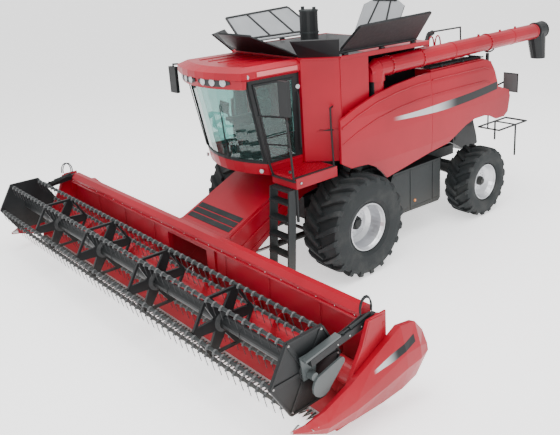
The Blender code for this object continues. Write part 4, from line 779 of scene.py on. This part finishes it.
def cab_trim():
    """Wiper, pillar seals, sill strip, grab handle, low lamps and work lamps."""
    dark, bowls, lenses, rims = Shape(), Shape(), Shape(), Shape()
    pivot = at(0.12, -1.665, 2.33)
    dark.pipe([pivot, at(0.16, -1.72, 2.60), at(0.22, -1.80, 3.05)], 0.010, 6)
    dark.pipe([at(0.19, -1.755, 2.62), at(0.24, -1.835, 3.25)], 0.007, 6)
    dark.rod(pivot + Y * 0.05, pivot - Y * 0.02, 0.03, 16)
    for s in (1, -1):
        dark.pipe([at(s * 0.845, -1.452, 2.30), at(s * 0.845, -1.725, 3.62)], 0.010, 6)
        lamp(bowls, lenses, at(s * 0.80, -1.492, 2.135), Vector((s * 0.4, -1, 0)).normalized(), 0.034)
        rims.beam(at(s * 0.884, -1.36, 2.21), at(s * 0.884, -0.66, 2.21), 0.010, 0.03)
    dark.pipe([at(0.888, -0.70, 2.35), at(0.925, -0.70, 2.40), at(0.925, -0.70, 3.30),
               at(0.888, -0.70, 3.36)], 0.012, 8)
    lamp(bowls, lenses, at(0.90, -0.69, 3.45), Vector((1, -0.3, 0)).normalized(), 0.035)
    dark.done("cab_seals_and_wiper", HOSE, "machine", "black_steel")
    bowls.done("cab_lamp_bowls", SILVER, "machine", "silver_rim")
    lenses.done("cab_lamp_lenses", WHITE_LENS, "machine", "cab_glass")
    rims.done("cab_sill_strips", RED_PAINT, "machine", "red_paint", bevel=0.003)


def pad(name, centre, size, tilt, cap):
    bm = bmesh.new()
    bmesh.ops.create_cube(bm, size=1.0)
    bmesh.ops.subdivide_edges(bm, edges=bm.edges, cuts=5, use_grid_fill=True)
    turn = Quaternion(X, math.radians(tilt))
    for v in bm.verts:
        p = v.co * 2.0
        flat = 1.0 - 0.10 * (p.x ** 4 + p.y ** 4)
        crown = 1.0 + 0.22 * (1 - p.x ** 2) * (1 - p.y ** 2)
        v.co = Vector((p.x * size[0] / 2 * flat, p.y * size[1] / 2 * flat, p.z * size[2] / 2 * crown))
    mesh = bpy.data.meshes.new(name)
    bm.to_mesh(mesh)
    bm.free()
    obj = bpy.data.objects.new(name, mesh)
    bpy.context.scene.collection.objects.link(obj)
    bpy.context.view_layer.objects.active = obj
    inflate(obj, cap)
    smooth = obj.modifiers.new("round", "SUBSURF")
    smooth.levels = smooth.render_levels = 1
    for v in obj.data.vertices:
        v.co = turn @ v.co + centre
    mesh = obj.data
    mesh.materials.append(CLOTH)
    mesh.shade_smooth()
    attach(obj, "machine")
    return obj


def inflate(obj, cap):
    """Cloth pressure for 20 frames; no point moves further than cap."""
    remesh = obj.modifiers.new("remesh", "REMESH")
    remesh.mode = "VOXEL"
    remesh.voxel_size = 0.012
    bpy.ops.object.modifier_apply(modifier="remesh")
    rest = [v.co.copy() for v in obj.data.vertices]
    scene = bpy.context.scene
    soft = obj.modifiers.new("cloth", "CLOTH")
    soft.settings.use_pressure = True
    soft.settings.uniform_pressure_force = 4.0
    soft.settings.effector_weights.gravity = 0.0
    for step in range(1, 21):
        scene.frame_set(step)
    shaped = obj.evaluated_get(bpy.context.evaluated_depsgraph_get()).data
    moved = [v.co.copy() for v in shaped.vertices]
    obj.modifiers.remove(soft)
    scene.frame_set(1)
    for v, a, b in zip(obj.data.vertices, rest, moved):
        shift = b - a
        if shift.length > cap:
            shift *= cap / shift.length
        v.co = a + shift


def cab_interior():
    """Suspension seat, wheel and column, armrest with its screen, floor mat."""
    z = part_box("operator_station")[0][2]
    frame_parts, soft_parts, screen = Shape(), Shape(), Shape()
    frame_parts.beam(at(-0.40, -1.14, z + 0.012), at(0.40, -1.14, z + 0.012), 0.80, 0.020)
    for k in range(4):
        w = 0.17 - 0.012 * k
        y = -1.02
        frame_parts.sheet(
            [at(-w, y - w * 0.9, z + 0.05 + 0.09 * k), at(w, y - w * 0.9, z + 0.05 + 0.09 * k),
            at(w, y + w * 0.9, z + 0.05 + 0.09 * k), at(-w, y + w * 0.9, z + 0.05 + 0.09 * k)], Z * 0.075
        )
    frame_parts.beam(at(-0.24, -1.04, z + 0.42), at(0.24, -1.04, z + 0.42), 0.44, 0.03)
    frame_parts.pipe([at(0, -1.46, z + 0.02), at(0, -1.42, z + 0.40), at(0, -1.335, z + 0.64)], 0.035, 12)
    frame_parts.pipe(
        [at(-0.33, -0.84, z + 0.42), at(-0.33, -0.86, z + 0.60), at(-0.33, -1.25, z + 0.64)], 0.030, 8
    )
    soft_parts.beam(at(-0.33, -0.86, z + 0.67), at(-0.33, -1.30, z + 0.70), 0.13, 0.07)
    soft_parts.pipe([at(-0.33, -1.26, z + 0.72), at(-0.34, -1.28, z + 0.84)], 0.018, 8)
    hub, up = at(0, -1.335, z + 0.66), Vector((0, 0.41, 0.91)).normalized()
    ring = [(0.016 * math.cos(t), 0.185 + 0.016 * math.sin(t)) for t in round_angles(10)]
    soft_parts.turned(ring, hub + up * 0.05, up, 36)
    for spoke in ring_of(hub + up * 0.045, up, 0.18, 3, 0.5):
        soft_parts.pipe([hub + up * 0.03, spoke], 0.011, 6)
    soft_parts.rod(hub, hub + up * 0.05, 0.045, 16)
    corner = at(-0.44, -1.30, z + 0.80)
    screen.beam(corner, corner + Vector((0.02, 0.03, 0.20)), 0.26, 0.03, Y)
    main = frame_parts.done("seat_frame_and_floor", DARK_PLASTIC, "machine", "seat_fabric", bevel=0.004)
    soft_parts.done("wheel_and_armrest", DARK_PLASTIC, "machine", "seat_fabric", bevel=0.006)
    screen.done("terminal", GREY_PLASTIC, "machine", "seat_fabric", bevel=0.005)
    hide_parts("operator_station")
    pad("seat_cushion", at(0, -1.04, z + 0.49), (0.50, 0.48, 0.11), 3, 0.012)
    pad("seat_back", at(0, -0.79, z + 0.80), (0.46, 0.58, 0.10), 80, 0.012)
    pad("head_rest", at(0, -0.74, z + 1.12), (0.26, 0.16, 0.09), 80, 0.010)


# ------------------------------------------------------------------ access
def access_trim():
    """Deck grating, ladder tread teeth, rail clamps and the step lamp."""
    low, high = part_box("access_platform")
    deck = Shape()
    top = high[2]
    for x in steps(low[0] + 0.03, high[0] - 0.05, 12):
        deck.beam(Vector((x, low[1] + 0.05, top + 0.004)), Vector((x, high[1] - 0.03, top + 0.004)),
                  0.012, 0.008)
    for y in steps(low[1] + 0.06, high[1] - 0.05, 16):
        deck.beam(Vector((low[0] + 0.02, y, top + 0.005)), Vector((high[0] - 0.04, y, top + 0.005)),
                  0.010, 0.010)
    deck.done("deck_grating", RED_PAINT, "machine", "red_paint")
    low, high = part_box("ladder")
    treads, foot, count = Shape(), low[2], 5
    rise = (high[2] - 0.006 - foot - 0.28) / (count - 1)
    for i in range(count):
        z = foot + 0.04 + rise * i + 0.034
        share = (z - foot) / (high[2] - foot)
        y = -1.475 - 0.12 * (1 - share)
        for x in steps(0.99, 1.43, 14):
            treads.beam(at(x, y, z), at(x, y + 0.13, z), 0.010, 0.010)
        treads.beam(at(0.975, y - 0.012, z - 0.01), at(1.445, y - 0.012, z - 0.01), 0.012, 0.035)
    treads.done("ladder_treads", DARK_GREY, "ladder", "dark_grey")
    lamps, lenses, marks = Shape(), Shape(), Shape()
    for z in (3.02, 2.62, 2.24):
        marks.hoop(0.02, 0.0185, 0.024, at(1.462, -1.43, z), Z, 12)
    marks.done("rail_clamps", DARK_PLASTIC, "machine", "black_steel")
    face = at(1.50, -1.24, 2.01)
    lamp(lamps, lenses, face + X * 0.003, X, 0.022)
    lamps.done("step_lamp_bowl", DARK_PLASTIC, "machine", "black_steel")
    lenses.done("step_lamp_lens", WHITE_LENS, "machine", "cab_glass")


def mirror_trim():
    """Mirror glass and shell seams on both mirrors."""
    glass_shape, shell = Shape(), Shape()
    for x0, x1, y, z0, z1 in ((1.425, 1.635, -1.479, 3.20, 3.70), (-1.575, -1.365, -1.589, 3.25, 3.69)):
        outline = [at(x0, y, z0), at(x1, y, z0), at(x1, y, z1), at(x0, y, z1)]
        glass_shape.sheet(outline, Y * 0.003)
        for a, b in zip(outline, outline[1:] + outline[:1]):
            shell.beam(a + Y * 0.002, b + Y * 0.002, 0.012, 0.012)
    glass_shape.done("mirror_glass", STEEL, "machine", "bare_steel")
    shell.done("mirror_frames", DARK_PLASTIC, "machine", "black_steel")


# ------------------------------------------------------------------ tank and covers
def cover_frame(where):
    """Ribs and an edge bar on the pale inner face of a tank cover."""
    shape = Shape()
    if where in ("left", "right"):
        s = 1 if where == "left" else -1
        tilt = math.radians(42.0)
        out, up = Vector((s * math.cos(tilt), 0, math.sin(tilt))), Vector(
            (-s * math.sin(tilt), 0, math.cos(tilt))
        )
        hinge = Vector((s * 1.36, AXLE_Y, 3.985)) + up * 0.020

        def spot(y, d):
            return hinge + Y * y + out * d

        lines = [((-0.11, 0.645), (1.57, 0.775)), ((-0.12, 0.05), (1.84, 0.05)),
                 ((-0.125, 0.06), (-0.115, 0.64)),
                 ((1.845, 0.06), (1.575, 0.76)), ((0.62, 0.06), (0.42, 0.69)), ((1.25, 0.06), (1.02, 0.73))]
        for (ya, da), (yb, db) in lines:
            shape.beam(spot(ya, da), spot(yb, db), 0.035, 0.020, up)
    else:
        front = where == "front"
        way, tilt, length = (-1, 30.0, 0.76) if front else (1, 60.0, 0.80)
        tilt = math.radians(tilt)
        out, up = Vector((0, way * math.cos(tilt), math.sin(tilt))), Vector(
            (0, -way * math.sin(tilt), math.cos(tilt))
        )
        hinge = Vector((0, AXLE_Y + (-0.61 if front else 2.17), 3.935)) + up * 0.020
        tip = 0.44 if front else 0.32
        base = 0.78 if front else 0.53

        def place(x, d):
            return hinge + X * x + out * d

        for (xa, da), (xb, db) in (
                ((-tip, length - 0.02), (tip, length - 0.02)), ((-base, 0.06), (base, 0.06)),
                ((-base * 0.5, 0.06), (-tip * 0.5, length - 0.02)),
                ((base * 0.5, 0.06), (tip * 0.5, length - 0.02))
        ):
            shape.beam(place(xa, da), place(xb, db), 0.030, 0.018, up)
    shape.done(f"cover_ribs_{where}", BLACK_STEEL, f"tank_cover_{where}", "black_steel", bevel=0.003)


def tank_trim():
    """Rolled rim, chamfer seams, pipes in the niche, the deck hoops and the fill auger's head."""
    rim, black, hoops = Shape(), Shape(), Shape()
    for s in (1, -1):
        rim.beam(at(s * 1.395, -0.16, 3.895), at(s * 1.395, 2.20, 3.895), 0.05, 0.06)
        rim.beam(at(s * 0.955, -0.640, 3.90), at(s * 1.395, -0.195, 3.90), 0.020, 0.05)
        rim.beam(at(s * 1.403, -0.17, 2.14), at(s * 1.403, -0.17, 3.90), 0.016, 0.030, X)
        rim.pipe([at(s * 1.11, -0.478, 2.66), at(s * 1.25, -0.338, 2.70), at(s * 1.37, -0.218, 2.70)],
                 0.008, 6)
    rim.beam(at(-1.40, 2.205, 3.895), at(1.40, 2.205, 3.895), 0.03, 0.05)
    for k, x in enumerate((1.13, 1.20, 1.33, 1.37)):
        z = 3.05 + 0.012 * (k % 2)
        black.pipe([at(x, 0.56, z), at(x, 1.20, z + 0.02), at(x, 2.16, z + 0.015)], 0.018, 8)
    for k, x in enumerate((1.17, 1.24, 1.31, 1.38)):
        black.pipe([at(x, 2.26, 3.385), at(x + 0.01 * (-1) ** k, 3.0, 3.392), at(x, 4.05, 3.38)], 0.016, 8)
    for y in (2.6, 3.3, 3.9):
        black.beam(at(1.14, y, 3.388), at(1.41, y, 3.388), 0.04, 0.052)
    for y in (2.72, 2.93):
        arc = [at(1.05, y - 0.09 * math.cos(t), 3.72 + 0.20 * math.sin(t)) for t in steps(0.0, math.pi, 9)]
        hoops.pipe([at(1.05, y - 0.09, 3.36)] + arc + [at(1.05, y + 0.09, 3.36)], 0.014, 8)
    hoops.beam(at(1.05, 2.24, 3.70), at(1.05, 2.62, 3.70), 0.04, 0.10)
    rim.done("tank_rim", RED_PAINT, "machine", "red_paint", bevel=0.004)
    black.done("niche_pipes", HOSE, "machine", "black_steel")
    hoops.done("deck_hoops", RED_PAINT, "machine", "red_paint")
    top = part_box("fill_auger")[1][2]
    head = Shape()
    c = at(0.02, 0.42, top)
    head.turned([(-0.03, 0.1705), (-0.03, 0.180), (0.0, 0.180), (0.004, 0.165), (-0.002, 0.1)], c, Z, 32)
    head.turned([(-0.42, 0.1705), (-0.42, 0.182), (-0.39, 0.182), (-0.39, 0.1705)], c, Z, 32)
    for s in (1, -1):
        head.beam(c + Vector((s * 0.155, 0, -0.02)), c + Vector((s * 0.155, 0, 0.055)), 0.03, 0.06, Y)
    head.done("fill_auger_head", DARK_GREY, "fill_auger", "black_steel")


# ------------------------------------------------------------------ unloading tube
def tube_trim():
    """Flange bolts, straps and lugs on the tube, bands and a reflector on the spout."""
    x, radius = 1.32, 0.17
    slope = Vector((0, 1, 0.018)).normalized()
    start = at(x, 0.80, 3.59)
    bolts, straps, rim = Shape(), Shape(), Shape()
    for d in (0.30, 1.18, 3.42):
        centre = start + slope * d
        bolts.bolts(ring_of(centre, slope, radius + 0.010, 18), -slope, 0.0065)
        bolts.bolts(ring_of(centre + slope * 0.03, slope, radius + 0.010, 18), slope, 0.0065)
    for d in (2.2, 4.35, 5.30):
        straps.hoop(0.02, radius - 0.001, radius + 0.005, start + slope * d, slope, 40)
    for d in (3.15, 3.95, 4.55):
        straps.beam(start + slope * d + Z * (radius - 0.01), start + slope * d + Z * (radius + 0.035),
                    0.03, 0.04, Y)
    bolts.done("tube_bolts", STEEL, "unloader", "bare_steel")
    straps.done("tube_straps", RED_PAINT, "unloader", "red_paint")
    tip = start + slope * 5.36
    for d in (0.02, 0.33):
        rim.turned(
            [(0.0, radius + 0.0195), (0.0, radius + 0.028), (0.02, radius + 0.028),
            (0.02, radius + 0.0195)], tip + slope * d, slope, 32
        )
    rim.beam(tip + Vector((0.0, 0.365, -0.05)), tip + Vector((0.0, 0.365, 0.10)), 0.10, 0.02, X)
    rim.done("spout_bands", DARK_PLASTIC, "unloader", "black_steel")
    lights = Shape()
    lights.beam(tip + Vector((-0.04, 0.378, 0.02)), tip + Vector((0.04, 0.378, 0.02)), 0.012, 0.10)
    # A painted glow: the reflector takes the red lamp glass, which glows faintly, though a reflector is no
    # lamp.
    lights.done("spout_reflector", RED_LENS, "unloader", "red_paint")


# ------------------------------------------------------------------ body sides, deck and tail
def panel_trim():
    """Latches and two pressed lines on every side panel."""
    lines = {
        "front": ((-0.33, 2.74), (0.05, 2.89), (0.55, 3.03), (1.10, 3.12), (1.65, 3.17), (2.08, 3.19)),
        "rear": ((2.16, 3.19), (3.0, 3.195), (3.90, 3.19), (4.10, 3.12)),
    }
    for where, y0, y1 in (("front", -0.28, 2.08), ("rear", 2.17, 4.30)):
        for side, s in SIDES:
            bead = Shape()
            bead.pipe([at(s * (1.562 - 0.10 * max(0.0, z - 2.80)), y, z) for y, z in lines[where]],
                      0.014, 8)
            bead.pipe([at(s * 1.561, y, z - 0.28) for y, z in lines[where]], 0.007, 8)
            bead.done(f"panel_beads_{where}_{side}", RED_PAINT, f"side_panel_{where}_{side}", "red_paint")
            trim = Shape()
            for y in steps(y0 + 0.35, y1 - 0.35, 3):
                trim.turned([(-0.004, 0.0), (-0.004, 0.020), (0.004, 0.018), (0.006, 0.0)],
                            at(s * 1.5435, y, 2.20), X * s, 20)
            trim.done(f"panel_latches_{where}_{side}", DARK_PLASTIC, f"side_panel_{where}_{side}",
                      "black_steel")


def deck_trim():
    """Air-intake grille, exhaust, filler cap and seams on the engine deck."""
    grille, red_bits, dark = Shape(), Shape(), Shape()
    for y in steps(2.52, 3.28, 14):
        grille.beam(at(-1.02, y, 3.508), at(-0.18, y, 3.508), 0.014, 0.018)
    for x in (-1.03, -0.60, -0.17):
        grille.beam(at(x, 2.47, 3.51), at(x, 3.33, 3.51), 0.022, 0.022)
    red_bits.beam(at(-1.30, 2.30, 3.366), at(-1.30, 3.90, 3.366), 0.06, 0.014)
    red_bits.beam(at(0.75, 2.30, 3.366), at(0.75, 3.90, 3.366), 0.06, 0.014)
    for y in (2.36, 3.02, 3.66):
        red_bits.beam(at(-0.05, y, 3.364), at(0.92, y, 3.364), 0.05, 0.010)
    dark.pipe([at(0.20, 3.62, 3.34), at(0.20, 3.62, 3.66), at(0.20, 3.72, 3.80), at(0.20, 3.86, 3.84)],
              0.055, 16)
    dark.rod(at(0.20, 3.62, 3.36), at(0.20, 3.62, 3.40), 0.085, 20)
    dark.rod(at(0.55, 2.62, 3.36), at(0.55, 2.62, 3.43), 0.05, 20)
    grille.done("intake_grille", BLACK_STEEL, "machine", "black_steel")
    red_bits.done("deck_seams", RED_PAINT, "machine", "red_paint", bevel=0.003)
    dark.done("exhaust_and_filler", DARK_GREY, "machine", "dark_grey")


def tail_trim():
    """Tail lamps, blank plate, cradle under the tube, spreader vanes."""
    black, lamps, amber, plate = Shape(), Shape(), Shape(), Shape()
    for s in (1, -1):
        black.beam(at(s * 1.18, 4.866, 2.42), at(s * 1.18, 4.866, 2.18), 0.22, 0.03, Y)
        lamps.beam(at(s * 1.18, 4.884, 2.40), at(s * 1.18, 4.884, 2.30), 0.17, 0.014, Y)
        amber.beam(at(s * 1.18, 4.884, 2.28), at(s * 1.18, 4.884, 2.20), 0.17, 0.014, Y)
    black.beam(at(1.32, 4.30, 3.16), at(1.32, 4.30, 3.42), 0.05, 0.06, Y)
    cup = [at(1.32 + 0.20 * math.sin(t), 4.30, 3.645 - 0.20 * math.cos(t)) for t in steps(-0.9, 0.9, 7)]
    black.pipe(cup, 0.016, 8)
    black.beam(at(1.32, 4.28, 3.22), at(1.10, 4.10, 3.36), 0.04, 0.04)
    for k in range(7):
        x = -0.48 + 0.16 * k
        black.sheet([at(x, 4.55, 1.10), at(x, 5.04, 1.17), at(x, 5.01, 1.36), at(x, 4.9, 1.64)], X * 0.008)
    outline = [
        at(1.315, 5.010, 2.505), at(1.645, 5.010, 2.505), at(1.645, 5.010, 2.895), at(1.315, 5.010, 2.895)
    ]
    plate.sheet(outline, Y * 0.004)
    plate.sheet([p - Y * 0.026 for p in outline], Y * 0.003)
    black.done("tail_brackets_and_vanes", BLACK_STEEL, "machine", "black_steel", bevel=0.002)
    lamps.done("tail_lamps", RED_LENS, "machine", "red_paint")
    amber.done("turn_lamps", AMBER_LENS, "machine", "red_paint")
    plate.done("blank_plate", GREY_PLASTIC, "machine", "dark_grey")


def belt(shape, a, ra, b, rb, width):
    """Flat belt round two pulleys that lie in one plane across X."""
    gap = b - a
    turn = math.atan2(gap.z, gap.y)
    lean = math.acos((ra - rb) / gap.length)
    points = []
    for centre, r, first, last in (
            (a, ra, turn + lean, turn + 2 * math.pi - lean), (b, rb, turn - lean, turn + lean)
    ):
        for t in steps(first, last, 13):
            points.append((centre, r, t))
    rings = []
    for centre, r, t in points:
        out = Vector((0, math.cos(t), math.sin(t)))
        rings.append(
            [centre + out * (r + d) + X * dx for d,
            dx in ((0, -width / 2), (0.012, -width / 2), (0.012, width / 2), (0, width / 2))]
        )
    shape.skin(rings, loop=True)


def drive_trim():
    """Pulleys, belts and pipes on both flanks of the body, seen under the side panels."""
    for side, s in SIDES:
        pulleys, belts, pipes, bolts = Shape(), Shape(), Shape(), Shape()
        spots = {"rotor": (0.55, 1.78, 0.26), "fan": (1.62, 1.62, 0.17), "shoe": (2.55, 1.78, 0.21),
                 "rear": (3.55, 1.80, 0.15)}
        if s < 0:
            spots["rotor"], spots["fan"] = (0.85, 1.74, 0.20), (1.85, 1.66, 0.24)
        centres = {}
        for name, (y, z, r) in spots.items():
            base = at(s * 0.80, y, z)
            centres[name] = (at(s * 0.90, y, z), r)
            pulleys.turned(
                [(0.0, 0.0), (0.0, 0.07), (0.07, 0.06), (0.075, r - 0.03), (0.075, r + 0.012), (0.085, r),
                (0.115, r), (0.125, r + 0.012), (0.125, r - 0.03), (0.105, 0.06), (0.13, 0.045),
                (0.13, 0.0)], base, X * s, 40
            )
            bolts.bolts(ring_of(base + X * s * 0.105, X * s, 0.045, 5), X * s, 0.007)
        order = list(centres.values())
        for (a, ra), (b, rb) in zip(order, order[1:]):
            belt(belts, a, ra, b, rb, 0.026)
        for k in range(4):
            z = 1.46 + 0.035 * k
            pipes.pipe([at(s * (0.82 + 0.01 * k), 0.2, z), at(s * (0.84 + 0.01 * k), 1.4, z - 0.02),
                        at(s * (0.84 + 0.01 * k), 2.8, z + 0.10), at(s * 0.83, 4.2, z + 0.30)], 0.013, 6)
        for y in (0.42, 1.15, 2.05, 2.95, 3.9):
            pulleys.beam(at(s * 0.812, y, 1.50), at(s * 0.812, y, 2.08), 0.05, 0.022, X)
        pulleys.done(f"pulleys_{side}", DARK_GREY, "machine", "dark_grey")
        belts.done(f"belts_{side}", HOSE, "machine", "black_steel")
        pipes.done(f"side_pipes_{side}", HOSE, "machine", "black_steel")
        bolts.done(f"pulley_bolts_{side}", STEEL, "machine", "bare_steel")


def chassis_trim():
    """Tank straps, hatch seams and a small marker lamp on the side boxes; steering rams."""
    seams, lamps, rams = Shape(), Shape(), Shape()
    for s in (1, -1):
        x = s * 1.341
        for y in (1.70, 2.40):
            seams.beam(at(x, y, 0.64), at(x, y, 1.47), 0.008, 0.018, X)
        seams.beam(at(x, 1.20, 1.44), at(x, 2.62, 1.44), 0.008, 0.03)
        seams.beam(at(x, 1.22, 0.68), at(x, 2.60, 0.66), 0.008, 0.025)
        seams.bolts([at(x, y, 1.38) for y in (1.28, 1.62, 1.78, 2.32, 2.48, 2.60)], X * s, 0.008)
        lamps.turned([(0.0, 0.0), (0.0, 0.032), (0.012, 0.028), (0.016, 0.0)], at(x, 1.84, 0.80), X * s, 20)
        rams.rod(at(s * 0.18, 3.62, 0.90), at(s * 0.58, 3.60, 0.86), 0.035, 16)
        rams.rod(at(s * 0.50, 3.604, 0.868), at(s * 0.84, 3.585, 0.835), 0.016, 12)
    seams.done("side_box_seams", DARK_GREY, "machine", "dark_grey", bevel=0.001)
    lamps.done("side_markers", AMBER_LENS, "machine", "red_paint")
    rams.done("steering_rams", STEEL, "machine", "bare_steel")


# ------------------------------------------------------------------ stage
def floor():
    shape = bmesh.new()
    bmesh.ops.create_grid(shape, x_segments=2, y_segments=2, size=180)
    mesh = bpy.data.meshes.new("floor")
    shape.to_mesh(mesh)
    shape.free()
    obj = bpy.data.objects.new("floor", mesh)
    bpy.context.scene.collection.objects.link(obj)
    f = Finish("floor", Emission_Color=(1.0, 1.0, 1.0, 1.0), Emission_Strength=0.85)
    f.set("Base Color", f.mix(f.noise(0.4), (0.90, 0.90, 0.90), (0.93, 0.93, 0.93)))
    f.set("Roughness", f.span(f.noise(2.0), 0.3, 0.7, 0.75, 0.85))
    mesh.materials.append(f.material)


def area_light(name, place, target, size, energy):
    data = bpy.data.lights.new(name, "AREA")
    data.shape = "RECTANGLE"
    data.size, data.size_y = size
    data.energy = energy
    obj = bpy.data.objects.new(name, data)
    obj.location = place
    obj.rotation_euler = (target - place).to_track_quat("-Z", "Y").to_euler()
    bpy.context.scene.collection.objects.link(obj)


def lights():
    world = bpy.data.worlds.new("world")
    bpy.context.scene.world = world
    world.use_nodes = True
    background = world.node_tree.nodes["Background"]
    background.inputs["Color"].default_value = (1.0, 1.0, 1.0, 1.0)
    background.inputs["Strength"].default_value = 1.15
    aim = at(0, 1.0, 1.5)
    area_light("overhead", at(2.0, -1.0, 14.0), aim, (16.0, 16.0), 3200.0)
    area_light("front_left", at(14.0, -12.0, 8.0), aim, (9.0, 6.0), 1500.0)


def camera():
    """The view from the front left, above the header."""
    eye, target = at(9.3666, -7.9464, 5.5176), at(0.221, 0.695, 1.723)
    data = bpy.data.cameras.new("camera")
    data.lens = 43.146
    data.sensor_width = 36.0
    data.shift_x = -0.0943
    data.shift_y = -0.1050
    data.clip_end = 600.0
    cam = bpy.data.objects.new("camera", data)
    cam.rotation_mode = "QUATERNION"
    roll = Quaternion(Z, math.radians(-2.352))
    cam.rotation_quaternion = (target - eye).to_track_quat("-Z", "Y") @ roll
    cam.location = eye
    bpy.context.scene.collection.objects.link(cam)
    bpy.context.scene.camera = cam


dress_frame()
for side_name, sign in SIDES:
    for axle in ("front", "rear"):
        tyre(axle, side_name)
        wheel_trim(axle, side_name, sign)
cutter_bar()
header_trim()
divider_trim()
tines()
reel_trim()
reel_arm_trim()
feeder_trim()
roof_trim()
cab_trim()
cab_interior()
access_trim()
mirror_trim()
for cover in ("left", "right", "front", "rear"):
    cover_frame(cover)
tank_trim()
tube_trim()
panel_trim()
deck_trim()
tail_trim()
drive_trim()
chassis_trim()
floor()
lights()
camera()
